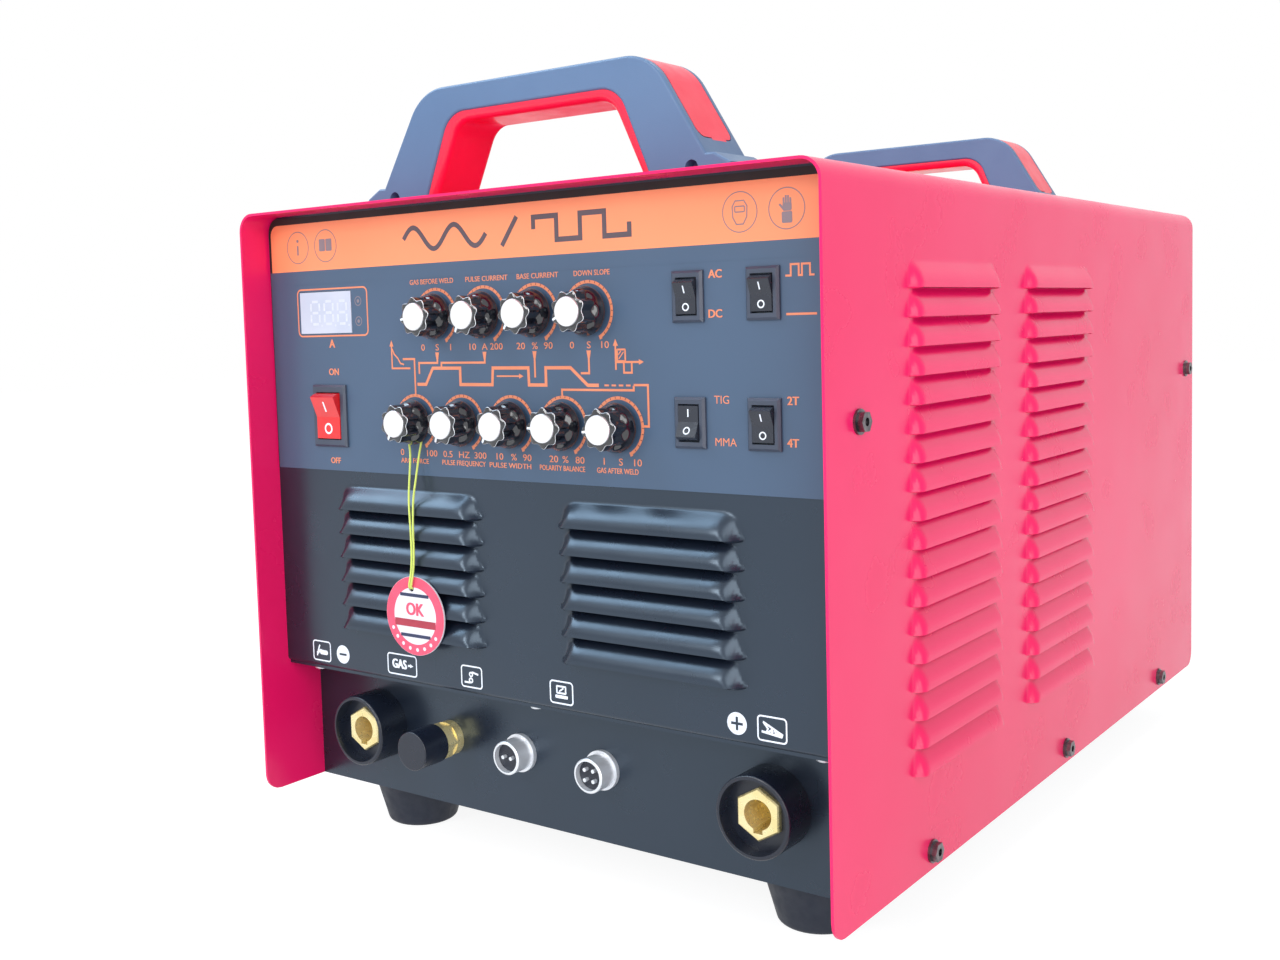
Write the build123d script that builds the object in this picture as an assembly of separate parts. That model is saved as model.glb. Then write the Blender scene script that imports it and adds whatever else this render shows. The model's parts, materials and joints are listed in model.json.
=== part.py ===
"""TIG welding machine, built as the separate pieces that the real one is assembled from.

Millimetres. +Z is up, the front faces -Y, and the origin is on the ground under the middle of the cover.
"""

import os
from math import cos, pi, radians, sin, sqrt, tan

from build123d import *

# Cover: one bent sheet, top and two sides
WIDTH = 330.0
DEPTH = 508.0
COVER_HEIGHT = 298.0
COVER_SHEET = 1.2
COVER_BEND = 9.0
COVER_CORNER = 9.0

# Ground to the cover's lower edge, and the other sheets
FOOT_HEIGHT = 25.0
PANEL_SHEET = 1.5
FLANGE = 15.0
CORNER_GAP = 0.6
FIT_GAP = 0.3
SHAFT_GAP = 0.05

# Front: an upper panel with a printed overlay, a ledge, and a connector panel set back below it
PANEL_RECESS = 17.4
OVERLAY_SHEET = 0.4
OVERLAY_LOW = 168.5
OVERLAY_HIGH = 295.0
OVERLAY_MARGIN = 1.0
LEDGE_HEIGHT = 66.2
CONNECTOR_RECESS = 38.8
REAR_RECESS = 36.0
SCREW_FLANGE = 20.0
REAR_FLANGE = 28.0

# Pressed louvres
LOUVRE_PITCH = 12.0
LOUVRE_HEIGHT = 11.2
LOUVRE_END_TAPER = 5.0
LOUVRE_END_RADIUS = 8.0
LOUVRE_LIP = 1.2
FRONT_LOUVRE_LENGTH = 96.0
FRONT_LOUVRE_DEPTH = 6.5
FRONT_LOUVRE_X = 70.5
FRONT_LOUVRE_LIP_Z = 90.0
FRONT_LOUVRE_COUNT = 6
SIDE_LOUVRE_LENGTH = 95.0
SIDE_LOUVRE_DEPTH = 4.5
SIDE_LOUVRE_Y = (119.2, 250.5)
SIDE_LOUVRE_LIP_Z = 45.5
SIDE_LOUVRE_COUNT = 18

# Carrying handles: two half shells with a soft core between them
HANDLE_Y = (33.0, 432.0)
HANDLE_FRONT_SHELL = 12.3
HANDLE_CORE = 11.0
HANDLE_REAR_SHELL = 9.7
HANDLE_HEIGHT = 54.0
HANDLE_FOOT_X = 106.0
HANDLE_FOOT_EDGE = 5.0
HANDLE_SHOULDER_X = 94.0
HANDLE_SHOULDER_Z = 9.5
HANDLE_LIP_X = 98.0
HANDLE_TOP_X = 67.0
HANDLE_CORNER = 24.0
HANDLE_EDGE = 1.2
GRIP_FOOT_X = 66.5
GRIP_TOP_X = 49.5
GRIP_HEIGHT = 41.5
GRIP_CORNER = 14.25
GRIP_BULGE = 4.5
GRIP_BULGE_EDGE = 3.6
GRIP_INSET = 0.8
GRIP_SIDE_SHARE = 0.85
CORE_FOOT_X = 76.0
CORE_LOW = 16.0
HANDLE_SCREW_X = 87.0
HANDLE_SCREW_RADIUS = 2.5
HANDLE_SCREW_HEAD = 4.5
FRONT_HOLE_RADIUS = 3.2
FRONT_HOLE_DEPTH = 6.0
FRONT_HOLE_Z = 4.0
STRIP_INSET = 3.6
STRIP_SHEET = 2.0
STRIP_GAP = 0.4
STRIP_X = 52.0
STRIP_LOW = 17.0
STRIP_CORNER = 4.0

# Feet
FOOT_X = 120.7
FOOT_Y = 184.5
FOOT_TOP_RADIUS = 25.0
FOOT_BOTTOM_RADIUS = 18.0
FOOT_EDGE = 3.0
FOOT_BORE = 8.0
FOOT_SEAT = 10.0
FOOT_SCREW_RADIUS = 3.0
FOOT_SCREW_HEAD = 6.0
FOOT_SCREW_HEAD_HEIGHT = 4.0
FOOT_NUT_FLATS = 10.0
FOOT_NUT_HEIGHT = 5.0

# Flanged hexagon screws in the cover, and pan head screws under the ledge
SIDE_SCREW_Y = (27.0, 490.0)
SIDE_SCREW_Z = 198.0
LOW_SCREW_Y = (90.0, 260.0, 430.0)
LOW_SCREW_Z = 8.0
SCREW_RADIUS = 2.0
SCREW_HOLE_GAP = 0.15
SCREW_FLANGE_RADIUS = 5.1
SCREW_FLANGE_HEIGHT = 1.0
SCREW_HEX_FLATS = 7.5
SCREW_HEX_HEIGHT = 2.6
SCREW_SOCKET_RADIUS = 1.7
SCREW_SOCKET_DEPTH = 1.6
SCREW_LENGTH = 9.0
LEDGE_SCREW_X = (-150.0, -2.0, 147.0)
LEDGE_SCREW_Y = 28.0
LEDGE_SCREW_HEAD_RADIUS = 3.6
LEDGE_SCREW_HEAD_HEIGHT = 3.4

# Control knobs, their shafts and their potentiometers
KNOB_TOP_X = (-47.0, -17.0, 13.0, 43.0)
KNOB_TOP_Z = 243.8
KNOB_LOW_X = (-62.5, -32.5, -2.5, 27.5, 57.5)
KNOB_LOW_Z = 194.1
KNOB_GAP = 2.2
KNOB_STAND = 15.3
KNOB_SKIRT_RADIUS = 10.8
KNOB_SKIRT_HEIGHT = 3.0
KNOB_RADIUS = 9.0
KNOB_FLUTES = 8
KNOB_FLUTE_RADIUS = 2.6
KNOB_FLUTE_DEPTH = 1.1
KNOB_POCKET_RADIUS = 7.0
KNOB_POCKET_DEPTH = 3.0
KNOB_CAP_RADIUS = 6.3
KNOB_CAP_SEAT = 0.9
KNOB_CAP_HEIGHT = 1.1
SHAFT_RADIUS = 3.0
SHAFT_TOP = 4.0
BUSHING_RADIUS = 3.5
BUSHING_STAND = 3.2
BUSHING_HOLE_GAP = 0.2
POT_NUT_FLATS = 10.0
POT_NUT_HEIGHT = 2.0
POT_RADIUS = 8.2
POT_HEIGHT = 9.0
SHAFT_TAIL = 4.0

# Rocker switches: (x, z) of each, and the sizes of the two kinds
POWER_ROCKER = (-121.5, 196.0)
AC_DC_ROCKER = (94.6, 248.3)
PULSE_ROCKER = (129.9, 248.5)
PROCESS_ROCKER = (94.5, 196.9)
TRIGGER_ROCKER = (129.5, 196.9)
POWER_BEZEL = (23.6, 31.0)
MODE_BEZEL = (15.0, 21.0)
POWER_PADDLE = 16.6
MODE_PADDLE = 9.6
POWER_PADDLE_END = 11.6
MODE_PADDLE_END = 7.5
ROCKER_TILT = 11.0
BEZEL_STAND = 2.0
BEZEL_EDGE = 1.0
BEZEL_LIP = 1.1
PIVOT_DEPTH = 2.2
PADDLE_STAND = 0.35
PADDLE_BACK = 3.5
PADDLE_WELL = 0.6
PIVOT_PIN_RADIUS = 1.2
PIVOT_PIN_LENGTH = 1.1
SWITCH_BODY_DEPTH = 16.0
CUTOUT_GAP = 0.2
BLADE = (4.8, 0.8, 7.0)

# Display
DISPLAY_X = (-140.9, -104.0)
DISPLAY_Z = (237.2, 257.8)
DISPLAY_STAND = 0.3
DISPLAY_LENS = 1.2
DISPLAY_FRAME = 4.0
DISPLAY_BODY = 9.0

# Items on the connector panel, all on one line
CONNECTOR_Z = 34.3
SOCKET_X = 117.0
COLLAR_RADIUS = 17.75
COLLAR_LENGTH = 18.0
COLLAR_EDGE = 1.0
CUP_RADIUS = 15.9
CUP_DEPTH = 7.0
SHANK_RADIUS = 12.0
SHANK_LENGTH = 15.0
INSERT_FLATS = 19.7
INSERT_HEX = 2.5
INSERT_TURN = 30.0
INSERT_RADIUS = 9.0
INSERT_BORE = 6.5
INSERT_BORE_DEPTH = 24.0
KEY_WIDTH = 4.4
KEY_REACH = 8.0
STUD_RADIUS = 5.0
STUD_LENGTH = 14.0
STUD_NUT_FLATS = 17.0
STUD_NUT_HEIGHT = 5.0
GAS_X = -68.4
GAS_NUT_FLATS = 15.5
GAS_NUT = (4.5, 11.0)
GAS_WASHER_RADIUS = 8.6
GAS_SPIGOT_RADIUS = 5.8
GAS_BORE = 2.0
GAS_CAP_FRONT = 28.0
GAS_CAP_BACK = 12.0
GAS_CAP_RADIUS = 9.5
GAS_CAP_WALL = 3.0
GAS_CAP_EDGE = 0.6
GAS_BARB_RADIUS = 3.0
GAS_BARB_LENGTH = 16.0
TRIGGER_X = -22.1
REMOTE_X = 27.0
SHELL_RADIUS = 8.0
SHELL_BORE = 6.8
SHELL_STAND = 12.0
SHELL_RING_RADIUS = 9.2
SHELL_RING = 2.2
SHELL_TAIL = 9.0
SHELL_NUT_FLATS = 19.0
SHELL_NUT_HEIGHT = 3.0
INSULATOR_SINK = 3.0
PIN_RADIUS = 0.9
PIN_CIRCLE = 3.4
PIN_STAND = 2.2
PIN_TAIL = 5.0

# Paper tag on a string loop round the nut of the lower left knob
STRING_RADIUS = 0.5
STRING_OUT = 1.15
STRING_LOOP_GAP = 0.25
STRING_LOOP_STEP = 40.0
TAG_RADIUS = 19.0
TAG_THICKNESS = 0.8
TAG_GAP = 0.4
TAG_CENTRE = (1.4, -92.3)
TAG_HOLE = (-0.45, -79.0)
TAG_HOLE_RADIUS = 1.7
# (sideways, out from the overlay, up) from the knob's axis, for each strand, from the tag upwards
LEFT_STRAND = (
    (-1.1, 6.9, -79.2),
    (-1.0, 8.3, -78.6),
    (0.0, 8.6, -75.5),
    (1.3, 8.5, -70.5),
    (1.5, 7.9, -62.0),
    (0.9, 7.5, -50.0),
    (-0.6, 6.6, -37.0),
    (-1.8, 4.0, -25.0),
    (-2.7, 1.6, -13.0),
)
RIGHT_STRAND = (
    (3.2, 1.6, -13.0),
    (2.7, 4.0, -25.0),
    (2.3, 6.6, -37.0),
    (2.5, 7.5, -50.0),
    (3.0, 7.9, -62.0),
    (2.7, 8.5, -70.5),
    (1.4, 8.6, -75.5),
    (0.3, 8.3, -78.6),
    (0.2, 6.9, -79.2),
)
ARC_SHARE = 0.45

# Cooling fan on the rear panel
FAN_Z = 150.0
FAN_FRAME = 119.0
FAN_DEPTH = 38.0
FAN_BORE = 57.5
FAN_HUB = 25.0
FAN_HUB_LENGTH = 27.0
FAN_TIP = 55.5
FAN_BLADES = 7
FAN_BLADE_PITCH = 38.0
FAN_BLADE_SHEET = 2.0
FAN_BLADE_CHORD = 30.0
FAN_SPIDER = 4.0
FAN_ARM = 7.0
FAN_AXLE = 3.0
FAN_AXLE_LENGTH = 3.5
FAN_MOUNT = 52.5
FAN_FRAME_CORNER = 6.0
GRILLE_STAND = 4.0
GRILLE_WIRE = 2.0
GRILLE_RINGS = (12.0, 22.0, 32.0, 42.0, 52.0)
GRILLE_FOOT = 4.0

# Other rear fittings
REAR_LINE_Z = 45.0
GLAND_X = 60.0
GLAND_BORE = 5.0
GLAND_THREAD = 9.5
GLAND_FLATS = 24.0
GLAND_HEX = 6.0
GLAND_DOME_RADIUS = 11.0
GLAND_DOME_LENGTH = 14.0
GLAND_NUT = 5.0
INLET_X = -115.0
INLET_BARB_RADIUS = 4.0
INLET_BARB_LENGTH = 24.0
INLET_FLATS = 14.0
INLET_HEX = 6.0
INLET_BORE = 2.5
EARTH_X = 115.0
EARTH_RADIUS = 3.0
EARTH_LENGTH = 18.0
EARTH_FLATS = 10.0
EARTH_NUT = 5.0

# Inside
FRAME_WIDTH = 200.0
FRAME_Y = (-150.0, 130.0)
FRAME_HEIGHT = 120.0
SINK_WIDTH = 80.0
SINK_LENGTH = 200.0
SINK_HEIGHT = 50.0
SINK_BASE = 8.0
SINK_FINS = 9
SINK_FIN = 2.0
SINK_X = 48.0
BOARD_SHEET = 1.6
POWER_BOARD = (180.0, 240.0)
STANDOFF = 8.0
STANDOFF_RADIUS = 3.5
BOARD_MARGIN = 8.0
CAPACITOR_RADIUS = 15.0
CAPACITOR_HEIGHT = 45.0
CAPACITOR_X = (-60.0, -20.0, 20.0, 60.0)
CAPACITOR_Y = 60.0
CONTROL_BOARD_X = (-85.0, 82.0)
CONTROL_BOARD_Z = (165.0, 268.0)
TRANSFORMER_AT = (-50.0, -40.0)
TRANSFORMER_CORE = (72.0, 60.0, 52.0)
CORE_LIMB = 14.0
WINDING_GAP = 0.5
CHOKE_AT = (50.0, -40.0)
CHOKE_CORE = (60.0, 60.0, 48.0)
COIL_AT = (60.0, -165.0)
COIL_RADIUS = 22.0
COIL_THICKNESS = 9.0
VALVE_BODY = (34.0, 30.0, 34.0)
VALVE_COIL = (24.0, 24.0, 26.0)
HOSE_RADIUS = 4.5
HOSE_TURN_Y = -160.0
HOSE_END_RUN = 22.0
HOSE_BEND = 20.0

# Worked out from the above
FRONT = -DEPTH / 2
BACK = DEPTH / 2
BASE = FOOT_HEIGHT
TOP = BASE + COVER_HEIGHT
HALF = WIDTH / 2
INSIDE = HALF - COVER_SHEET
FLOOR = BASE + PANEL_SHEET
PANEL_FRONT = FRONT + PANEL_RECESS
PANEL_BACK = PANEL_FRONT + PANEL_SHEET
OVERLAY_FRONT = PANEL_FRONT - OVERLAY_SHEET
CONNECTOR_FRONT = FRONT + CONNECTOR_RECESS
CONNECTOR_BACK = CONNECTOR_FRONT + PANEL_SHEET
REAR_OUT = BACK - REAR_RECESS
REAR_IN = REAR_OUT - PANEL_SHEET
LEDGE = BASE + LEDGE_HEIGHT
LINE_Z = BASE + CONNECTOR_Z
REAR_Z = BASE + REAR_LINE_Z
SCREW_HOLE = SCREW_RADIUS + SCREW_HOLE_GAP
HANDLE_DEPTH = HANDLE_FRONT_SHELL + HANDLE_CORE + HANDLE_REAR_SHELL
HANDLE_SCREW_HOLE = HANDLE_SCREW_RADIUS + SCREW_HOLE_GAP
HANDLE_SCREW_TOP = TOP + HANDLE_SHOULDER_Z - 1.0
KNOBS = [(x, BASE + KNOB_TOP_Z) for x in KNOB_TOP_X] + [(x, BASE + KNOB_LOW_Z) for x in KNOB_LOW_X]
MODE_ROCKERS = {
    "ac_dc_rocker": (AC_DC_ROCKER, 1),
    "pulse_rocker": (PULSE_ROCKER, 1),
    "process_rocker": (PROCESS_ROCKER, -1),
    "trigger_mode_rocker": (TRIGGER_ROCKER, 1),
}
BEYOND = 5.0


def block(x0, x1, y0, y1, z0, z1):
    return Pos((x0 + x1) / 2, (y0 + y1) / 2, (z0 + z1) / 2) * Box(x1 - x0, y1 - y0, z1 - z0)


def rod_y(x, z, y0, y1, radius):
    return Pos(x, (y0 + y1) / 2, z) * Rot(90, 0, 0) * Cylinder(radius, y1 - y0)


def rod_x(y, z, x0, x1, radius):
    return Pos((x0 + x1) / 2, y, z) * Rot(0, 90, 0) * Cylinder(radius, x1 - x0)


def rod_z(x, y, z0, z1, radius):
    return Pos(x, y, (z0 + z1) / 2) * Cylinder(radius, z1 - z0)


def front_face(points):
    """A face in the XZ plane from (x, z) points."""
    return Plane.XZ * make_face(Polyline(*points, close=True))


def along_y(face, y0, y1):
    """A face in the XZ plane made solid from y0 to y1."""
    return Pos(0, y1, 0) * extrude(face, y1 - y0)


def hexagon(flats):
    return RegularPolygon(flats / sqrt(3), 6)


def hex_y(x, z, y0, y1, flats, turn=0.0):
    return Pos(x, y1, z) * extrude(Plane.XZ * Rot(Z=turn) * hexagon(flats), y1 - y0)


def hex_z(x, y, z0, z1, flats):
    return Pos(x, y, z0) * extrude(hexagon(flats), z1 - z0)


def save(name, *pieces):
    solids = [solid for piece in pieces for solid in piece.solids()]
    export_step(Compound(solids), f"parts/{name}.step")


# Louvres


def louvre_form(length, height, depth, sheet):
    """The pressed form: it leans out of a wall that faces -Y, from its top down to its lip at z = 0."""
    wedge = Plane.YZ * make_face(
        Polyline((sheet, 0), (sheet, height), (0, height), (-depth, LOUVRE_LIP), (-depth, 0), close=True)
    )
    half = length / 2
    low = half - LOUVRE_END_TAPER
    inner = [(-half, sheet), (-half, 0), (-low, -depth)]
    outer = [(low, -depth), (half, 0), (half, sheet)]
    plan = Polyline(*inner, *outer, close=True)
    outline = fillet(
        front_face([(-half, 0), (-half, height), (half, height), (half, 0)]).vertices().group_by(Axis.Z)[-1],
        LOUVRE_END_RADIUS,
    )
    body = Pos(-half, 0, 0) * extrude(wedge, length)
    return body & extrude(make_face(plan), height) & along_y(outline, -depth, sheet)


def louvre(length, depth, sheet):
    """The hood that is added to the wall, and the slot that is cut from it first."""
    slot = louvre_form(length - 2 * sheet, LOUVRE_HEIGHT - sheet, depth - sheet, sheet)
    space = block(-length, length, -depth, 0, 0, LOUVRE_HEIGHT)
    hood = louvre_form(length, LOUVRE_HEIGHT, depth, sheet) & space
    return hood - slot, slot


# Cover and panels


def side_screw_places():
    places = [(FRONT + y, BASE + SIDE_SCREW_Z) for y in SIDE_SCREW_Y]
    return places + [(FRONT + y, BASE + LOW_SCREW_Z) for y in LOW_SCREW_Y]


def side_screw_holes():
    return [rod_x(y, z, -HALF - BEYOND, HALF + BEYOND, SCREW_HOLE) for y, z in side_screw_places()]


def handle_screw_places():
    return [
        (side * HANDLE_SCREW_X, FRONT + y + HANDLE_DEPTH / 2)
        for y in HANDLE_Y
        for side in (-1, 1)
    ]


def make_cover():
    outside = block(-HALF, HALF, FRONT, BACK, BASE, TOP)
    outside = fillet(outside.edges().filter_by(Axis.Y).group_by(Axis.Z)[-1], COVER_BEND)
    inside = block(-INSIDE, INSIDE, FRONT - BEYOND, BACK + BEYOND, BASE - BEYOND, TOP - COVER_SHEET)
    inside = fillet(inside.edges().filter_by(Axis.Y).group_by(Axis.Z)[-1], COVER_BEND - COVER_SHEET)
    shell = outside - inside
    shell = fillet(shell.edges().filter_by(Axis.X).group_by(Axis.Z)[0], COVER_CORNER)
    hood, slot = louvre(SIDE_LOUVRE_LENGTH, SIDE_LOUVRE_DEPTH, COVER_SHEET)
    hoods = []
    cuts = side_screw_holes()
    for x, y in handle_screw_places():
        cuts.append(rod_z(x, y, TOP - BEYOND, TOP + BEYOND, HANDLE_SCREW_HOLE))
    for y in SIDE_LOUVRE_Y:
        for row in range(SIDE_LOUVRE_COUNT):
            z = BASE + SIDE_LOUVRE_LIP_Z + row * LOUVRE_PITCH
            for side in (-1, 1):
                place = Pos(side * HALF, FRONT + y, z) * Rot(0, 0, side * 90)
                hoods.append(place * hood)
                cuts.append(place * slot)
    save("cover", shell - cuts + hoods)


def panel_outline(low, gap):
    """Across the inside of the cover from a height up, with its corners clear of the cover's bends."""
    corner = COVER_BEND - COVER_SHEET + CORNER_GAP - gap
    points = [(-INSIDE + gap, low), (-INSIDE + gap, TOP - COVER_SHEET - gap)]
    points += [(INSIDE - gap, TOP - COVER_SHEET - gap), (INSIDE - gap, low)]
    face = front_face(points)
    return fillet(face.vertices().group_by(Axis.Z)[-1], corner)


def cutout(x, z, width, height, y0, y1, gap):
    across = width / 2 + gap
    up = height / 2 + gap
    return block(x - across, x + across, y0, y1, z - up, z + up)


def control_cutouts():
    """The holes of the knobs, rockers and display through the front panel and its overlay."""
    y0 = OVERLAY_FRONT - BEYOND
    y1 = PANEL_BACK + BEYOND
    cuts = [rod_y(x, z, y0, y1, BUSHING_RADIUS + BUSHING_HOLE_GAP) for x, z in KNOBS]
    width, height = (side - 2 * BEZEL_LIP for side in POWER_BEZEL)
    cuts.append(cutout(POWER_ROCKER[0], BASE + POWER_ROCKER[1], width, height, y0, y1, CUTOUT_GAP))
    width, height = (side - 2 * BEZEL_LIP for side in MODE_BEZEL)
    for (x, z), _ in MODE_ROCKERS.values():
        cuts.append(cutout(x, BASE + z, width, height, y0, y1, CUTOUT_GAP))
    x = sum(DISPLAY_X) / 2
    z = BASE + sum(DISPLAY_Z) / 2
    width = DISPLAY_X[1] - DISPLAY_X[0]
    height = DISPLAY_Z[1] - DISPLAY_Z[0]
    cuts.append(cutout(x, z, width, height, y0, y1, CUTOUT_GAP))
    return cuts


def ledge_screw_holes():
    y = FRONT + LEDGE_SCREW_Y
    return [rod_z(x, y, LEDGE - 2 * BEYOND, LEDGE + 2 * BEYOND, SCREW_HOLE) for x in LEDGE_SCREW_X]


def make_front_panel():
    sheet = along_y(panel_outline(LEDGE, 0), PANEL_FRONT, PANEL_BACK)
    sheet += block(-INSIDE, INSIDE, PANEL_FRONT, CONNECTOR_BACK, LEDGE, LEDGE + PANEL_SHEET)
    flange_top = TOP - COVER_SHEET - FLANGE
    for side in (-1, 1):
        x0, x1 = sorted((side * INSIDE, side * (INSIDE - PANEL_SHEET)))
        sheet += block(x0, x1, PANEL_FRONT, PANEL_FRONT + SCREW_FLANGE, LEDGE, flange_top)
    hood, slot = louvre(FRONT_LOUVRE_LENGTH, FRONT_LOUVRE_DEPTH, PANEL_SHEET)
    hoods = []
    cuts = control_cutouts() + ledge_screw_holes() + side_screw_holes()
    for side in (-1, 1):
        for row in range(FRONT_LOUVRE_COUNT):
            z = BASE + FRONT_LOUVRE_LIP_Z + row * LOUVRE_PITCH
            place = Pos(side * FRONT_LOUVRE_X, PANEL_FRONT, z)
            hoods.append(place * hood)
            cuts.append(place * slot)
    save("front_panel", sheet - cuts + hoods)


def make_overlay():
    low = BASE + OVERLAY_LOW
    face = panel_outline(low, OVERLAY_MARGIN)
    sheet = along_y(face, OVERLAY_FRONT, PANEL_FRONT)
    save("control_overlay", sheet - control_cutouts())


def make_connector_panel():
    top = LEDGE
    sheet = block(-INSIDE, INSIDE, CONNECTOR_FRONT, CONNECTOR_BACK, BASE, top)
    sheet += block(-INSIDE, INSIDE, PANEL_FRONT + PANEL_SHEET, CONNECTOR_BACK, top - PANEL_SHEET, top)
    sheet += block(-INSIDE, INSIDE, CONNECTOR_FRONT, CONNECTOR_BACK + FLANGE, FLOOR, FLOOR + PANEL_SHEET)
    for side in (-1, 1):
        x0, x1 = sorted((side * INSIDE, side * (INSIDE - PANEL_SHEET)))
        sheet += block(x0, x1, CONNECTOR_FRONT, CONNECTOR_BACK + FLANGE, FLOOR, top)
    y0 = CONNECTOR_FRONT - BEYOND
    y1 = CONNECTOR_BACK + BEYOND
    cuts = ledge_screw_holes()
    cuts += [rod_y(side * SOCKET_X, LINE_Z, y0, y1, SHANK_RADIUS + SCREW_HOLE_GAP) for side in (-1, 1)]
    cuts += [rod_y(x, LINE_Z, y0, y1, SHELL_BORE + 1 + SCREW_HOLE_GAP) for x in (TRIGGER_X, REMOTE_X)]
    cuts.append(rod_y(GAS_X, LINE_Z, y0, y1, GAS_SPIGOT_RADIUS + SCREW_HOLE_GAP))
    save("connector_panel", sheet - cuts)


def foot_places():
    return [(x * FOOT_X, y * FOOT_Y) for x in (-1, 1) for y in (-1, 1)]


def make_base_tray():
    sheet = block(-INSIDE, INSIDE, CONNECTOR_BACK, REAR_IN, BASE, FLOOR)
    y0 = CONNECTOR_BACK + FLANGE + CORNER_GAP
    y1 = REAR_IN - FLANGE - CORNER_GAP
    for side in (-1, 1):
        x0, x1 = sorted((side * INSIDE, side * (INSIDE - PANEL_SHEET)))
        sheet += block(x0, x1, y0, y1, BASE, BASE + SCREW_FLANGE)
    hole = FOOT_SCREW_RADIUS + SCREW_HOLE_GAP
    holes = [rod_z(x, y, BASE - BEYOND, FLOOR + BEYOND, hole) for x, y in foot_places()]
    save("base_tray", sheet - (holes + side_screw_holes()))


def make_rear_panel():
    sheet = along_y(panel_outline(BASE, 0), REAR_IN, REAR_OUT)
    sheet += block(-INSIDE, INSIDE, REAR_IN - FLANGE, REAR_OUT, FLOOR, FLOOR + PANEL_SHEET)
    flange_top = TOP - COVER_SHEET - FLANGE
    for side in (-1, 1):
        x0, x1 = sorted((side * INSIDE, side * (INSIDE - PANEL_SHEET)))
        sheet += block(x0, x1, REAR_IN, REAR_OUT + REAR_FLANGE, BASE + COVER_CORNER, flange_top)
    y0 = REAR_IN - BEYOND
    y1 = REAR_OUT + BEYOND
    cuts = side_screw_holes()
    cuts.append(rod_y(0, BASE + FAN_Z, y0, y1, FAN_BORE))
    cuts += [rod_y(x, z, y0, y1, SCREW_HOLE) for x, z in fan_mounts()]
    cuts.append(rod_y(GLAND_X, REAR_Z, y0, y1, GLAND_THREAD + SCREW_HOLE_GAP))
    cuts.append(rod_y(INLET_X, REAR_Z, y0, y1, INLET_BARB_RADIUS + SCREW_HOLE_GAP))
    cuts.append(rod_y(EARTH_X, REAR_Z, y0, y1, EARTH_RADIUS + SCREW_HOLE_GAP))
    save("rear_panel", sheet - cuts)


# Handles


def arch(foot_x, top_x, height, corner):
    """The opening or core outline: a symmetrical arch that stands on the cover."""
    points = [(-foot_x, TOP), (-top_x, TOP + height), (top_x, TOP + height), (foot_x, TOP)]
    face = front_face(points)
    return fillet(face.vertices().group_by(Axis.Z)[-1], corner)


def handle_outline():
    right = [
        (HANDLE_FOOT_X, TOP),
        (HANDLE_FOOT_X, TOP + HANDLE_FOOT_EDGE),
        (HANDLE_LIP_X, TOP + HANDLE_SHOULDER_Z),
        (HANDLE_SHOULDER_X, TOP + HANDLE_SHOULDER_Z),
        (HANDLE_TOP_X, TOP + HANDLE_HEIGHT),
    ]
    left = [(-x, z) for x, z in reversed(right)]
    face = front_face(right + left)
    return fillet(face.vertices().group_by(Axis.Z)[-1], HANDLE_CORNER)


def make_handle(name, y):
    y0 = FRONT + y
    y1 = y0 + HANDLE_FRONT_SHELL
    y2 = y1 + HANDLE_CORE
    y3 = y2 + HANDLE_REAR_SHELL
    outline = handle_outline()
    opening = arch(GRIP_FOOT_X, GRIP_TOP_X, GRIP_HEIGHT, GRIP_CORNER)
    body = outline - opening
    front_shell = round_rim(along_y(body, y0, y1), 0)
    rear_shell = round_rim(along_y(body, y2, y3), -1)
    for side in (-1, 1):
        x0, x1 = sorted((side * CORE_FOOT_X, side * HANDLE_FOOT_X))
        front_shell += along_y(body, y1, y2) & block(x0, x1, y1, y2, TOP, TOP + CORE_LOW)
    grip_corner = GRIP_CORNER - GRIP_BULGE / 2
    grip = arch(GRIP_FOOT_X - GRIP_BULGE, GRIP_TOP_X - GRIP_BULGE, GRIP_HEIGHT - GRIP_BULGE, grip_corner)
    lining = along_y(opening - grip, y0 + GRIP_INSET, y3 - GRIP_INSET)
    edges = [
        edge
        for face in (lining.faces().sort_by(Axis.Y)[0], lining.faces().sort_by(Axis.Y)[-1])
        for edge in face.edges()
        if grip_edge(edge)
    ]
    lining = fillet(edges, GRIP_BULGE_EDGE)
    core = along_y(body, y1, y2)
    for side in (-1, 1):
        x0, x1 = sorted((side * CORE_FOOT_X, side * (HANDLE_FOOT_X + BEYOND)))
        core -= block(x0, x1, y1 - BEYOND, y2 + BEYOND, TOP - BEYOND, TOP + CORE_LOW)
    holes = [
        rod_z(sx, sy, TOP - 2 * BEYOND, HANDLE_SCREW_TOP, HANDLE_SCREW_HOLE)
        for sx, sy in handle_screw_places()
    ]
    for side in (-1, 1):
        x = side * HANDLE_SCREW_X
        holes.append(rod_y(x, TOP + FRONT_HOLE_Z, y0 - BEYOND, y0 + FRONT_HOLE_DEPTH, FRONT_HOLE_RADIUS))
    seats = outer_strips(outline, y0, y3, STRIP_GAP)
    save(f"{name}_handle_shells", front_shell - holes - seats, rear_shell - seats)
    save(f"{name}_handle_core", core + lining + outer_strips(outline, y0, y3, 0))


def round_rim(shell, face):
    """A handle shell with the edges round its outer face rounded, except where it stands on the cover."""
    edges = shell.faces().sort_by(Axis.Y)[face].edges()
    return fillet(edges.filter_by(lambda edge: edge.center().Z > TOP + 1), HANDLE_EDGE)


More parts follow.
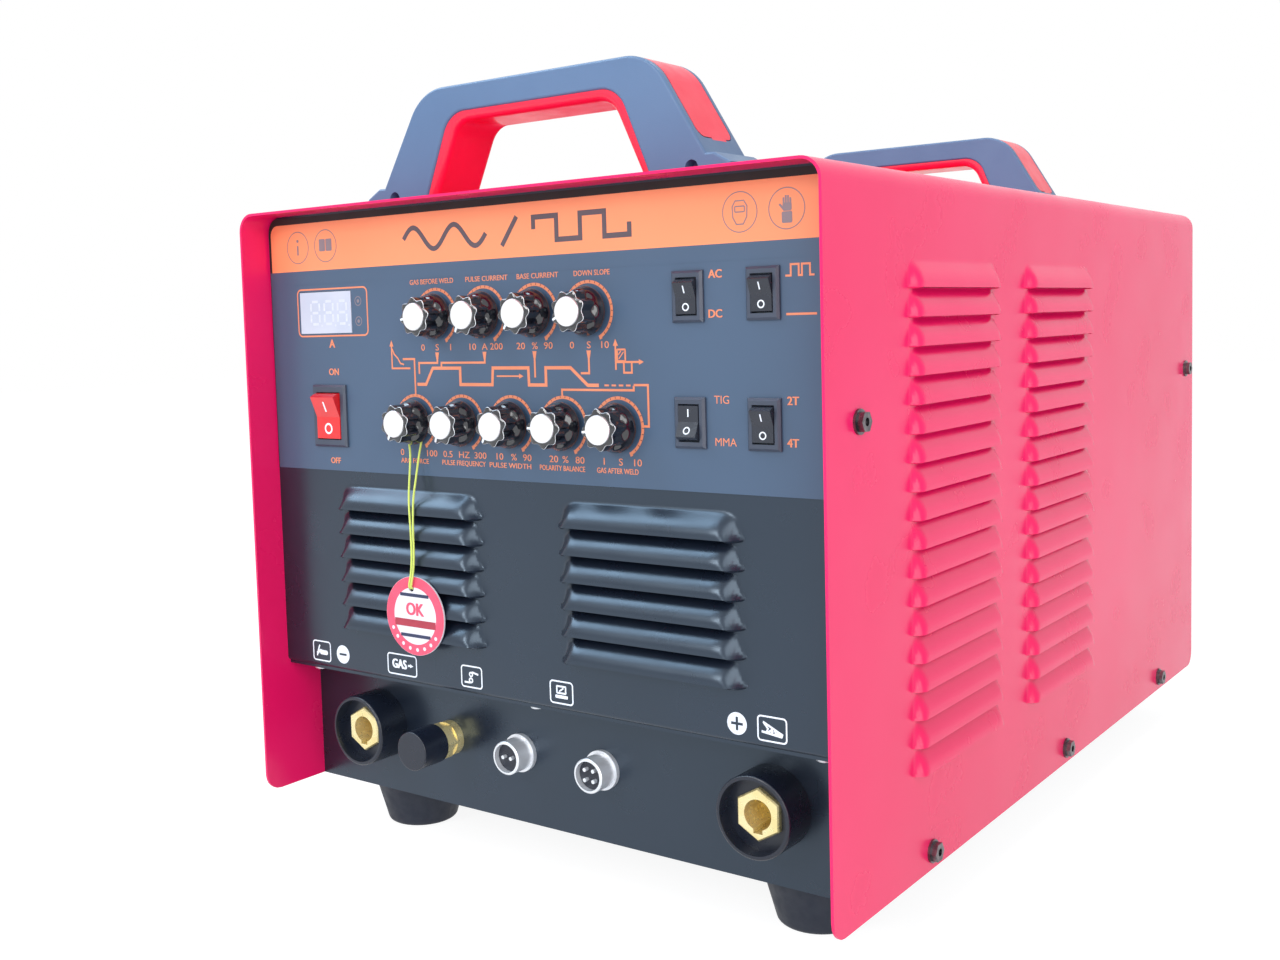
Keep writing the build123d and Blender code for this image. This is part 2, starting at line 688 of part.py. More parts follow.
def outer_strips(outline, y0, y3, gap):
    """The two wide strips set into the handle's outer slopes, larger by a gap for their seats."""
    band = outline - offset(outline, -STRIP_SHEET - gap)
    ring = along_y(band, y0 + STRIP_INSET - gap, y3 - STRIP_INSET + gap)
    strips = []
    for side in (-1, 1):
        x0, x1 = sorted((side * (STRIP_X - gap), side * HANDLE_FOOT_X))
        low = TOP + STRIP_LOW - gap
        space = block(x0, x1, y0 + STRIP_INSET - gap, y3 - STRIP_INSET + gap, low, TOP + DEPTH)
        space = fillet(space.edges().filter_by(Axis.X).group_by(Axis.Z)[0], STRIP_CORNER)
        strips.append(ring & space)
    return strips


def grip_edge(edge):
    """Whether an edge of the lining's side face is on the grip's side, not the shells' or the cover's."""
    middle = edge.position_at(0.5)
    if middle.Z < TOP + 1:
        return False
    share = (middle.Z - TOP) / GRIP_HEIGHT
    shell_x = GRIP_FOOT_X + (GRIP_TOP_X - GRIP_FOOT_X) * share
    return middle.Z < TOP + GRIP_HEIGHT - 1 and abs(middle.X) < shell_x - GRIP_BULGE * GRIP_SIDE_SHARE


def make_handle_screws():
    screws = []
    for x, y in handle_screw_places():
        top = HANDLE_SCREW_TOP - FIT_GAP
        low = TOP - COVER_SHEET
        shank = rod_z(x, y, low, top, HANDLE_SCREW_RADIUS)
        head = rod_z(x, y, low - 3, low, HANDLE_SCREW_HEAD)
        screws.append(shank + head)
    save("handle_screws", *screws)


# Feet and screws


def make_feet():
    feet = []
    screws = []
    for x, y in foot_places():
        cone = Cone(FOOT_BOTTOM_RADIUS, FOOT_TOP_RADIUS, FOOT_HEIGHT)
        cone = fillet(cone.edges().group_by(Axis.Z)[0], FOOT_EDGE)
        foot = Pos(x, y, FOOT_HEIGHT / 2) * cone
        foot -= rod_z(x, y, -BEYOND, FOOT_HEIGHT - FOOT_SEAT, FOOT_BORE)
        foot -= rod_z(x, y, 0, FOOT_HEIGHT + BEYOND, FOOT_SCREW_RADIUS + SCREW_HOLE_GAP)
        feet.append(foot)
        seat = FOOT_HEIGHT - FOOT_SEAT
        screw = rod_z(x, y, seat - FOOT_SCREW_HEAD_HEIGHT, seat, FOOT_SCREW_HEAD)
        screw += rod_z(x, y, seat, FLOOR + FOOT_NUT_HEIGHT + 1, FOOT_SCREW_RADIUS)
        screw += hex_z(x, y, FLOOR, FLOOR + FOOT_NUT_HEIGHT, FOOT_NUT_FLATS)
        screws.append(screw)
    save("feet", *feet)
    return screws


def flanged_screw():
    """A screw along X whose head stands on the plane x = 0, towards +X."""
    flange = rod_x(0, 0, 0, SCREW_FLANGE_HEIGHT, SCREW_FLANGE_RADIUS)
    hexagon_head = extrude(Plane.YZ * hexagon(SCREW_HEX_FLATS), SCREW_FLANGE_HEIGHT + SCREW_HEX_HEIGHT)
    shank = rod_x(0, 0, -SCREW_LENGTH, 0, SCREW_RADIUS)
    top = SCREW_FLANGE_HEIGHT + SCREW_HEX_HEIGHT
    socket = rod_x(0, 0, top - SCREW_SOCKET_DEPTH, top, SCREW_SOCKET_RADIUS)
    return flange + hexagon_head + shank - socket


def make_screws():
    screw = flanged_screw()
    sides = []
    for y, z in side_screw_places():
        sides.append(Pos(HALF, y, z) * screw)
        sides.append(Pos(-HALF, y, z) * Rot(0, 0, 180) * screw)
    save("cover_screws", *sides)
    ledge = []
    seat = LEDGE - PANEL_SHEET
    for x in LEDGE_SCREW_X:
        y = FRONT + LEDGE_SCREW_Y
        head = rod_z(x, y, seat - LEDGE_SCREW_HEAD_HEIGHT, seat, LEDGE_SCREW_HEAD_RADIUS)
        head = fillet(head.edges().group_by(Axis.Z)[0], LEDGE_SCREW_HEAD_HEIGHT / 2)
        ledge.append(head + rod_z(x, y, seat, seat + SCREW_LENGTH, SCREW_RADIUS))
    save("ledge_screws", *ledge)


# Knobs and potentiometers


def make_knob(name, x, z):
    back = OVERLAY_FRONT - KNOB_GAP
    front = OVERLAY_FRONT - KNOB_STAND
    skirt = rod_y(x, z, back - KNOB_SKIRT_HEIGHT, back, KNOB_SKIRT_RADIUS)
    skirt = chamfer(skirt.edges().group_by(Axis.Y)[0], 1.0)
    grip = rod_y(x, z, front, back - KNOB_SKIRT_HEIGHT, KNOB_RADIUS)
    reach = KNOB_RADIUS + KNOB_FLUTE_RADIUS - KNOB_FLUTE_DEPTH
    flutes = []
    for step in range(KNOB_FLUTES):
        turn = 2 * pi * (step + 0.5) / KNOB_FLUTES
        fx = x + reach * cos(turn)
        fz = z + reach * sin(turn)
        flutes.append(rod_y(fx, fz, front - BEYOND, back - KNOB_SKIRT_HEIGHT, KNOB_FLUTE_RADIUS))
    grip -= flutes
    knob = skirt + grip
    knob -= rod_y(x, z, back - KNOB_POCKET_DEPTH, back + BEYOND, KNOB_POCKET_RADIUS)
    knob -= rod_y(x, z, front - BEYOND, front + KNOB_CAP_SEAT, KNOB_CAP_RADIUS + SHAFT_GAP)
    knob -= rod_y(x, z, front + SHAFT_TOP, back, SHAFT_RADIUS + SHAFT_GAP)
    cap = rod_y(x, z, front + KNOB_CAP_SEAT - KNOB_CAP_HEIGHT, front + KNOB_CAP_SEAT, KNOB_CAP_RADIUS)
    shaft = rod_y(x, z, front + SHAFT_TOP, PANEL_BACK + SHAFT_TAIL, SHAFT_RADIUS)
    save(name, knob, cap, shaft)


def make_potentiometers():
    pots = []
    front = OVERLAY_FRONT - BUSHING_STAND
    for x, z in KNOBS:
        pot = rod_y(x, z, front, PANEL_BACK, BUSHING_RADIUS)
        pot += rod_y(x, z, PANEL_BACK, PANEL_BACK + POT_HEIGHT, POT_RADIUS)
        pot -= rod_y(x, z, front - BEYOND, PANEL_BACK + SHAFT_TAIL + FIT_GAP, SHAFT_RADIUS + SHAFT_GAP)
        nut = hex_y(x, z, OVERLAY_FRONT - POT_NUT_HEIGHT, OVERLAY_FRONT, POT_NUT_FLATS)
        nut -= rod_y(x, z, OVERLAY_FRONT - BEYOND, OVERLAY_FRONT + BEYOND, BUSHING_RADIUS + SHAFT_GAP)
        pots += [pot, nut]
    save("potentiometers", *pots)


# Rocker switches


def paddle_profile(end, stand):
    """(out, up) section of a paddle about its pivot, with both halves sloping out to its ends."""
    slope = tan(radians(ROCKER_TILT))
    points = [(-PADDLE_BACK, -end), (stand + end * slope, -end), (stand, 0), (stand + end * slope, end)]
    points.append((-PADDLE_BACK, end))
    return make_face(Polyline(*points, close=True)) & Circle(end)


def rocker_pivot_y():
    return OVERLAY_FRONT - BEZEL_STAND + PIVOT_DEPTH


def make_paddle(name, x, z, width, end, up):
    """The moving part of a rocker switch, at rest with its upper (up = 1) or lower end out."""
    stand = (PIVOT_DEPTH + PADDLE_STAND) / cos(radians(ROCKER_TILT))
    # The plane's x is outward, -Y, and its y is up, so that its normal is +X or -X
    section = Plane(origin=(0, 0, 0), x_dir=(0, -1, 0), z_dir=(-1, 0, 0)) * paddle_profile(end, stand)
    paddle = Pos(width / 2, 0, 0) * extrude(section, width)
    reach = width / 2 + FIT_GAP + PIVOT_PIN_LENGTH
    paddle += rod_x(0, 0, -reach, reach, PIVOT_PIN_RADIUS)
    turned = Rot(up * ROCKER_TILT, 0, 0) * paddle
    save(name, Pos(x, rocker_pivot_y(), z) * turned)


def switch_body(x, z, bezel, paddle_width, end):
    """A frame in the panel with a bezel in front, hollow for its paddle, with contact blades behind."""
    front = OVERLAY_FRONT - BEZEL_STAND
    width, height = bezel
    rim = cutout(x, z, width, height, front, OVERLAY_FRONT, 0)
    rim = chamfer(rim.faces().sort_by(Axis.Y)[0].edges(), BEZEL_EDGE)
    body_width = width - 2 * BEZEL_LIP
    body_height = height - 2 * BEZEL_LIP
    back = OVERLAY_FRONT + SWITCH_BODY_DEPTH
    body = rim + cutout(x, z, body_width, body_height, OVERLAY_FRONT, back, 0)
    well_back = rocker_pivot_y() + PADDLE_BACK + PADDLE_WELL + end * sin(radians(ROCKER_TILT))
    well = cutout(x, z, paddle_width, 2 * end, front - BEYOND, well_back, FIT_GAP)
    reach = paddle_width / 2 + FIT_GAP + PIVOT_PIN_LENGTH + SHAFT_GAP
    pins = rod_x(rocker_pivot_y(), z, x - reach, x + reach, PIVOT_PIN_RADIUS + SHAFT_GAP)
    body -= [well, pins]
    for step in (-1, 0, 1):
        bz = z + step * body_height / 3
        width, height, length = BLADE[0], BLADE[1], BLADE[2]
        body += block(x - width / 2, x + width / 2, back, back + length, bz - height / 2, bz + height / 2)
    return body


def make_switches():
    x, z = POWER_ROCKER
    make_paddle("power_rocker", x, BASE + z, POWER_PADDLE, POWER_PADDLE_END, 1)
    save("power_switch_body", switch_body(x, BASE + z, POWER_BEZEL, POWER_PADDLE, POWER_PADDLE_END))
    bodies = []
    for name, ((x, z), up) in MODE_ROCKERS.items():
        make_paddle(name, x, BASE + z, MODE_PADDLE, MODE_PADDLE_END, up)
        bodies.append(switch_body(x, BASE + z, MODE_BEZEL, MODE_PADDLE, MODE_PADDLE_END))
    save("mode_switch_bodies", *bodies)


def make_display():
    x0, x1 = DISPLAY_X
    z0, z1 = (BASE + z for z in DISPLAY_Z)
    front = OVERLAY_FRONT - DISPLAY_STAND
    lens_back = front + DISPLAY_LENS
    save("display_window", block(x0, x1, front, lens_back, z0, z1))
    module = block(x0, x1, lens_back, PANEL_BACK, z0, z1)
    edge = DISPLAY_FRAME
    module += block(x0 - edge, x1 + edge, PANEL_BACK, PANEL_BACK + DISPLAY_BODY, z0 - edge, z1 + edge)
    save("display_module", module)


# Connector panel fittings


def make_sockets():
    collars = []
    inserts = []
    for side in (-1, 1):
        x = side * SOCKET_X
        front = CONNECTOR_FRONT - COLLAR_LENGTH
        collar = rod_y(x, LINE_Z, front, CONNECTOR_FRONT, COLLAR_RADIUS)
        collar = fillet(collar.edges().group_by(Axis.Y)[0], COLLAR_EDGE)
        shank_back = CONNECTOR_BACK + SHANK_LENGTH
        collar += rod_y(x, LINE_Z, CONNECTOR_FRONT, shank_back, SHANK_RADIUS)
        floor = front + CUP_DEPTH
        collar -= rod_y(x, LINE_Z, front - BEYOND, floor, CUP_RADIUS)
        collar -= rod_y(x, LINE_Z, floor, shank_back + BEYOND, INSERT_RADIUS + SHAFT_GAP)
        collars.append(collar)
        insert = hex_y(x, LINE_Z, floor - INSERT_HEX, floor, INSERT_FLATS, INSERT_TURN)
        insert = chamfer(insert.faces().sort_by(Axis.Y)[0].edges(), 0.6)
        insert += rod_y(x, LINE_Z, floor, shank_back, INSERT_RADIUS)
        insert += rod_y(x, LINE_Z, shank_back, shank_back + STUD_LENGTH, STUD_RADIUS)
        bore_back = floor - INSERT_HEX + INSERT_BORE_DEPTH
        insert -= rod_y(x, LINE_Z, front, bore_back, INSERT_BORE)
        key = KEY_WIDTH / 2
        insert -= block(x - key, x + key, front, bore_back, LINE_Z - KEY_REACH, LINE_Z)
        nut = hex_y(x, LINE_Z, shank_back, shank_back + STUD_NUT_HEIGHT, STUD_NUT_FLATS)
        nut -= rod_y(x, LINE_Z, shank_back, shank_back + STUD_LENGTH, STUD_RADIUS + SHAFT_GAP)
        inserts += [insert, nut]
    save("socket_collars", *collars)
    save("socket_inserts", *inserts)


def make_gas_outlet():
    near, far = GAS_NUT
    front = CONNECTOR_FRONT
    tip = front - GAS_CAP_FRONT + GAS_CAP_WALL + FIT_GAP
    outlet = rod_y(GAS_X, LINE_Z, tip, CONNECTOR_BACK + BEYOND, GAS_SPIGOT_RADIUS)
    outlet += rod_y(GAS_X, LINE_Z, front - near, front, GAS_WASHER_RADIUS)
    outlet += hex_y(GAS_X, LINE_Z, front - far, front - near, GAS_NUT_FLATS)
    outlet += hex_y(GAS_X, LINE_Z, CONNECTOR_BACK, CONNECTOR_BACK + BEYOND, GAS_NUT_FLATS)
    barb_back = CONNECTOR_BACK + BEYOND + GAS_BARB_LENGTH
    outlet += rod_y(GAS_X, LINE_Z, CONNECTOR_BACK, barb_back, GAS_BARB_RADIUS)
    outlet -= rod_y(GAS_X, LINE_Z, tip - BEYOND, CONNECTOR_BACK + 2 * BEYOND + GAS_BARB_LENGTH, GAS_BORE)
    save("gas_outlet", outlet)
    cap = rod_y(GAS_X, LINE_Z, front - GAS_CAP_FRONT, front - GAS_CAP_BACK, GAS_CAP_RADIUS)
    cap = fillet(cap.edges().group_by(Axis.Y)[0], GAS_CAP_EDGE)
    well_front = front - GAS_CAP_FRONT + GAS_CAP_WALL
    cap -= rod_y(GAS_X, LINE_Z, well_front, front, GAS_SPIGOT_RADIUS + SHAFT_GAP)
    save("gas_cap", cap)


def pin_places(x, count):
    if count == 2:
        return [(x - PIN_CIRCLE * 0.7, LINE_Z), (x + PIN_CIRCLE * 0.7, LINE_Z)]
    turns = [radians(45 + 90 * step) for step in range(count)]
    return [(x + PIN_CIRCLE * cos(turn), LINE_Z + PIN_CIRCLE * sin(turn)) for turn in turns]


def make_round_connectors():
    inserts = []
    pins = []
    front = CONNECTOR_FRONT - SHELL_STAND
    back = CONNECTOR_BACK + SHELL_TAIL
    for name, x, count in (("trigger_connector", TRIGGER_X, 2), ("remote_connector", REMOTE_X, 4)):
        shell = rod_y(x, LINE_Z, front, CONNECTOR_FRONT, SHELL_RADIUS)
        shell = chamfer(shell.edges().group_by(Axis.Y)[0], 0.5)
        shell += rod_y(x, LINE_Z, CONNECTOR_FRONT - SHELL_RING, CONNECTOR_FRONT, SHELL_RING_RADIUS)
        shell += rod_y(x, LINE_Z, CONNECTOR_FRONT, back, SHELL_BORE + 1)
        shell += hex_y(x, LINE_Z, CONNECTOR_BACK, CONNECTOR_BACK + SHELL_NUT_HEIGHT, SHELL_NUT_FLATS)
        shell -= rod_y(x, LINE_Z, front - BEYOND, back + BEYOND, SHELL_BORE)
        save(name, shell)
        insert = rod_y(x, LINE_Z, front + INSULATOR_SINK, back, SHELL_BORE - SHAFT_GAP)
        y0 = front + INSULATOR_SINK - PIN_STAND
        y1 = back + PIN_TAIL
        insert -= [rod_y(px, pz, y0, y1, PIN_RADIUS + SHAFT_GAP) for px, pz in pin_places(x, count)]
        inserts.append(insert)
        pins += [rod_y(px, pz, y0, y1, PIN_RADIUS) for px, pz in pin_places(x, count)]
    save("connector_inserts", *inserts)
    save("connector_pins", *pins)


# Tag and string


def string_route():
    """The string's points: up one strand, round the knob's nut and down the other strand."""
    x, z = KNOBS[len(KNOB_TOP_X)]
    radius = POT_NUT_FLATS / sqrt(3) + STRING_LOOP_GAP + STRING_RADIUS
    corner = radius / cos(radians(STRING_LOOP_STEP / 2))
    points = [Vector(x + dx, OVERLAY_FRONT - out, z + dz) for dx, out, dz in LEFT_STRAND]
    for step in range(6):
        turn = radians(190 - step * STRING_LOOP_STEP)
        points.append(Vector(x + corner * cos(turn), OVERLAY_FRONT - STRING_OUT, z + corner * sin(turn)))
    points += [Vector(x + dx, OVERLAY_FRONT - out, z + dz) for dx, out, dz in RIGHT_STRAND]
    return points


def route_radii(points):
    """As large an arc at each corner as its two runs allow."""
    radii = []
    for before, point, after in zip(points, points[1:], points[2:]):
        run_in = point - before
        run_out = after - point
        half_turn = radians(run_in.get_angle(run_out)) / 2
        radii.append(ARC_SHARE * min(run_in.length, run_out.length) / tan(half_turn))
    return radii


def tube(name, points, radius, bore, radii):
    path = FilletPolyline(*points, radius=radii)
    start = Plane(origin=path @ 0, z_dir=path % 0)
    section = Circle(radius) - Circle(bore) if bore else Circle(radius)
    solid = sweep(start * section, path=path)
    area = pi * (radius**2 - bore**2)
    print(name, "volume", round(solid.volume, 2), "section times length", round(area * path.length, 2))
    print(name, "length", round(path.length, 1))
    return solid


def make_tag():
    points = string_route()
    radii = route_radii(points)
    print("tag_string smallest radius", round(min(radii), 2))
    save("tag_string", tube("tag_string", points, STRING_RADIUS, 0, radii))
    x, z = KNOBS[len(KNOB_TOP_X)]
    back = PANEL_FRONT - FRONT_LOUVRE_DEPTH - TAG_GAP
    cx, cz = TAG_CENTRE
    hx, hz = TAG_HOLE
    tag = rod_y(x + cx, z + cz, back - TAG_THICKNESS, back, TAG_RADIUS)
    tag -= rod_y(x + hx, z + hz, back - BEYOND, back + BEYOND, TAG_HOLE_RADIUS)
    save("inspection_tag", tag)


# Rear fittings


def fan_mounts():
    return [(x * FAN_MOUNT, BASE + FAN_Z + z * FAN_MOUNT) for x in (-1, 1) for z in (-1, 1)]


def make_fan():
    z = BASE + FAN_Z
    y0 = REAR_IN - FAN_DEPTH
    half = FAN_FRAME / 2
    frame = block(-half, half, y0, REAR_IN, z - half, z + half)
    frame = fillet(frame.edges().filter_by(Axis.Y), FAN_FRAME_CORNER)
    frame -= rod_y(0, z, y0 - BEYOND, REAR_IN + BEYOND, FAN_BORE)
    frame -= [rod_y(mx, mz, y0 - BEYOND, REAR_IN + BEYOND, SCREW_HOLE) for mx, mz in fan_mounts()]
    spider = rod_y(0, z, y0, y0 + FAN_SPIDER, FAN_HUB)
    arm = block(-FAN_BORE - 1, FAN_BORE + 1, y0, y0 + FAN_SPIDER, -FAN_ARM / 2, FAN_ARM / 2)
    for turn in (45, 135):
        spider += Pos(0, 0, z) * Rot(0, turn, 0) * arm
    spider -= rod_y(0, z, y0 - BEYOND, y0 + 2 * BEYOND, FAN_AXLE + SHAFT_GAP)
    save("fan_frame", frame + spider)
    hub_front = y0 + FAN_SPIDER + FIT_GAP
    hub_back = hub_front + FAN_HUB_LENGTH
    rotor = rod_y(0, z, hub_front, hub_back, FAN_HUB)
    rotor += rod_y(0, z, hub_front - FIT_GAP - FAN_AXLE_LENGTH, hub_front, FAN_AXLE)
    middle = (hub_front + hub_back) / 2
    thin = FAN_BLADE_SHEET / 2
    chord = FAN_BLADE_CHORD / 2
    blade = block(FAN_HUB - FAN_BLADE_SHEET, FAN_TIP, -thin, thin, -chord, chord)
    blade = Rot(90 - FAN_BLADE_PITCH, 0, 0) * blade
    for step in range(FAN_BLADES):
        rotor += Pos(0, middle, z) * Rot(0, step * 360 / FAN_BLADES, 0) * blade
    rotor &= rod_y(0, z, y0, REAR_OUT, FAN_TIP)
    save("fan_rotor", rotor)
    low = REAR_OUT + GRILLE_STAND
    high = low + GRILLE_WIRE
    grille = rod_y(0, z, low, high, GRILLE_RINGS[0])
    for radius in GRILLE_RINGS[1:]:
        grille += rod_y(0, z, low, high, radius) - rod_y(0, z, low - 1, high + 1, radius - GRILLE_WIRE)
    reach = FAN_MOUNT * sqrt(2)
    bar = block(-reach, reach, low, high, -GRILLE_WIRE / 2, GRILLE_WIRE / 2)
    for turn in (45, 135):
        grille += Pos(0, 0, z) * Rot(0, turn, 0) * bar
    for mx, mz in fan_mounts():
        grille += rod_y(mx, mz, REAR_OUT, high, GRILLE_FOOT)
    grille -= [rod_y(mx, mz, REAR_OUT - BEYOND, high + BEYOND, SCREW_HOLE) for mx, mz in fan_mounts()]
    screws = []
    for mx, mz in fan_mounts():
        screw = rod_y(mx, mz, REAR_IN - 2 * BEYOND, high, SCREW_RADIUS)
        screws.append(screw + rod_y(mx, mz, high, high + 2, GRILLE_FOOT))
    save("fan_grille", grille)
    return screws


def make_rear_fittings():
    thread_front = REAR_IN - GLAND_NUT - 2
    gland = rod_y(GLAND_X, REAR_Z, thread_front, REAR_OUT, GLAND_THREAD)
    gland += hex_y(GLAND_X, REAR_Z, REAR_OUT, REAR_OUT + GLAND_HEX, GLAND_FLATS)
    dome_back = REAR_OUT + GLAND_HEX + GLAND_DOME_LENGTH
    dome = rod_y(GLAND_X, REAR_Z, REAR_OUT + GLAND_HEX, dome_back, GLAND_DOME_RADIUS)
    gland += fillet(dome.edges().group_by(Axis.Y)[-1], 4)
    gland += hex_y(GLAND_X, REAR_Z, REAR_IN - GLAND_NUT, REAR_IN, GLAND_FLATS)
    gland -= rod_y(GLAND_X, REAR_Z, thread_front - BEYOND, dome_back + BEYOND, GLAND_BORE)
    save("cable_gland", gland)
    tip = REAR_OUT + INLET_HEX + INLET_BARB_LENGTH
    inlet = rod_y(INLET_X, REAR_Z, REAR_IN, tip, INLET_BARB_RADIUS)
    inlet += hex_y(INLET_X, REAR_Z, REAR_OUT, REAR_OUT + INLET_HEX, INLET_FLATS)
    inlet -= rod_y(INLET_X, REAR_Z, REAR_IN - BEYOND, tip + BEYOND, INLET_BORE)
    save("gas_inlet", inlet)
    stud = rod_y(EARTH_X, REAR_Z, REAR_IN, REAR_OUT + EARTH_LENGTH, EARTH_RADIUS)
    stud += hex_y(EARTH_X, REAR_Z, REAR_IN - EARTH_NUT, REAR_IN, EARTH_FLATS)
    stud += hex_y(EARTH_X, REAR_Z, REAR_OUT, REAR_OUT + EARTH_NUT, EARTH_FLATS)
    save("earth_stud", stud)


# Inside


def make_power_stage():
    half = FRAME_WIDTH / 2
    y0, y1 = FRAME_Y
    shelf = FLOOR + FRAME_HEIGHT
    frame = block(-half, half, y0, y1, FLOOR, shelf)
    inner = half - PANEL_SHEET
    frame -= block(-inner, inner, y0 - BEYOND, y1 + BEYOND, FLOOR - BEYOND, shelf - PANEL_SHEET)
    save("support_frame", frame)
    under = shelf - PANEL_SHEET
    middle = (y0 + y1) / 2
    sinks = []
    for side in (-1, 1):
        x0 = side * SINK_X - SINK_WIDTH / 2
        sink_y = (middle - SINK_LENGTH / 2, middle + SINK_LENGTH / 2)
        sink = block(x0, x0 + SINK_WIDTH, *sink_y, under - SINK_BASE, under)
        pitch = (SINK_WIDTH - SINK_FIN) / (SINK_FINS - 1)
        for fin in range(SINK_FINS):
            fx = x0 + fin * pitch
            sink += block(fx, fx + SINK_FIN, *sink_y, under - SINK_HEIGHT, under - SINK_BASE)
        sinks.append(sink)
    save("heat_sinks", *sinks)
    width, length = POWER_BOARD
    low = shelf + STANDOFF
    board_y = (middle - length / 2, middle + length / 2)
    board = block(-width / 2, width / 2, *board_y, low, low + BOARD_SHEET)
    post_x = width / 2 - BOARD_MARGIN
    post_y = length / 2 - BOARD_MARGIN
    posts = [
        rod_z(sx * post_x, middle + sy * post_y, shelf, low, STANDOFF_RADIUS)
        for sx in (-1, 1)
        for sy in (-1, 1)
    ]
    save("power_board", board, *posts)
    top = low + BOARD_SHEET
    cans = [
        rod_z(x, middle + y, top, top + CAPACITOR_HEIGHT, CAPACITOR_RADIUS)
        for x in CAPACITOR_X
        for y in (-CAPACITOR_Y, CAPACITOR_Y)
    ]
    save("capacitors", *cans)
    x0, x1 = CONTROL_BOARD_X
    z0, z1 = (BASE + z for z in CONTROL_BOARD_Z)
    back = PANEL_BACK + POT_HEIGHT
    save("control_board", block(x0, x1, back, back + BOARD_SHEET, z0, z1))


def wound_core(at, size):
    """A rectangular iron core with two windows, and a coil round its middle limb that fills them."""
    x, y = at
    width, depth, height = size
    x0 = x - width / 2
    core = block(x0, x0 + width, y - depth / 2, y + depth / 2, FLOOR, FLOOR + height)
    window = (width - 4 * CORE_LIMB) / 2
    low = FLOOR + CORE_LIMB
    high = FLOOR + height - CORE_LIMB
    windows = []
    for side in (-1, 1):
        edges = sorted((x + side * CORE_LIMB, x + side * (CORE_LIMB + window)))
        windows.append(block(*edges, y - depth, y + depth, low, high))
    core -= windows
    gap = WINDING_GAP
    reach = CORE_LIMB + window - gap
    half_depth = depth / 2 + window
    coil = block(x - reach, x + reach, y - half_depth, y + half_depth, low, high - gap)
    limb = CORE_LIMB + gap
    limb_depth = depth / 2 + gap
    coil -= block(x - limb, x + limb, y - limb_depth, y + limb_depth, FLOOR, FLOOR + height)
    return core, coil


def make_magnetics():
    save("transformer", *wound_core(TRANSFORMER_AT, TRANSFORMER_CORE))
    save("output_choke", *wound_core(CHOKE_AT, CHOKE_CORE))
    x, y = COIL_AT
    save("hf_coil", Pos(x, y, FLOOR + COIL_THICKNESS) * Torus(COIL_RADIUS, COIL_THICKNESS))


def make_gas_line():
    width, depth, height = VALVE_BODY
    front = REAR_IN - depth
    body = cutout(INLET_X, REAR_Z, width, height, front, REAR_IN, 0)
    coil_width, coil_depth, coil_height = VALVE_COIL
    middle = REAR_IN - depth / 2
    top = REAR_Z + height / 2
    coil_x = (INLET_X - coil_width / 2, INLET_X + coil_width / 2)
    coil_y = (middle - coil_depth / 2, middle + coil_depth / 2)
    body += block(*coil_x, *coil_y, top, top + coil_height)
    barb_tip = front - GAS_BARB_LENGTH
    body += rod_y(INLET_X, REAR_Z, barb_tip, front, GAS_BARB_RADIUS)
    save("gas_valve", body)
    outlet_back = CONNECTOR_BACK + BEYOND
    points = [
        Vector(INLET_X, front - 1, REAR_Z),
        Vector(INLET_X, HOSE_TURN_Y, REAR_Z),
        Vector(GAS_X, outlet_back + 2 * HOSE_END_RUN, LINE_Z),
        Vector(GAS_X, outlet_back + 1, LINE_Z),
    ]
    save("gas_hose", tube("gas_hose", points, HOSE_RADIUS, GAS_BARB_RADIUS + SHAFT_GAP, HOSE_BEND))


os.makedirs("parts", exist_ok=True)
make_cover()
make_front_panel()
make_overlay()
make_connector_panel()
make_base_tray()
make_rear_panel()
make_handle("front", HANDLE_Y[0])
make_handle("rear", HANDLE_Y[1])
make_handle_screws()
make_screws()
for number, (knob_x, knob_z) in enumerate(KNOBS, start=1):
    make_knob(f"knob_{number}", knob_x, knob_z)
make_potentiometers()
make_switches()
make_display()
make_sockets()
make_gas_outlet()
make_round_connectors()
make_tag()
save("chassis_screws", *make_feet(), *make_fan())
make_rear_fittings()
make_power_stage()
make_magnetics()
make_gas_line()
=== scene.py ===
"""The look of the TIG welding machine: pressed sheets, knobs, printed marks, materials and lights."""

import json
from math import cos, exp, pi, radians, sin, sqrt

import bmesh
import bpy
from mathutils import Matrix, Vector


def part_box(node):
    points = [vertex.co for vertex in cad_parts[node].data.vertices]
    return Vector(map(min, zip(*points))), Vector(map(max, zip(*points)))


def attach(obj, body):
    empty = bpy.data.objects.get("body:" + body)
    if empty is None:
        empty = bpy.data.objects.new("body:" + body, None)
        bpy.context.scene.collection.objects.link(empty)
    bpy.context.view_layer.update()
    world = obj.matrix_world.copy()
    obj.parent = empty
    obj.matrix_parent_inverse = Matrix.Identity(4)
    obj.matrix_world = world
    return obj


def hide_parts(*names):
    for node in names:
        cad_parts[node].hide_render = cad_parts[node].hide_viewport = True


MM = 0.001

# Sizes in millimetres that the printed and pressed looks share with the CAD source
LOUVRE_PITCH = 12.0
LOUVRE_HEIGHT = 11.2
LOUVRE_CORNER = 5.0
FRONT_LOUVRES = {
    "centres": (-70.5, 70.5), "length": 96.0, "depth": 6.5,
    "low": 90.0, "count": 6, "flare": 3.6, "ramp": 7.0,
}
SIDE_LOUVRES = {
    "centres": (119.2, 250.5), "length": 95.0, "depth": 4.5,
    "low": 45.5, "count": 18, "flare": 1.6, "ramp": 5.0,
}
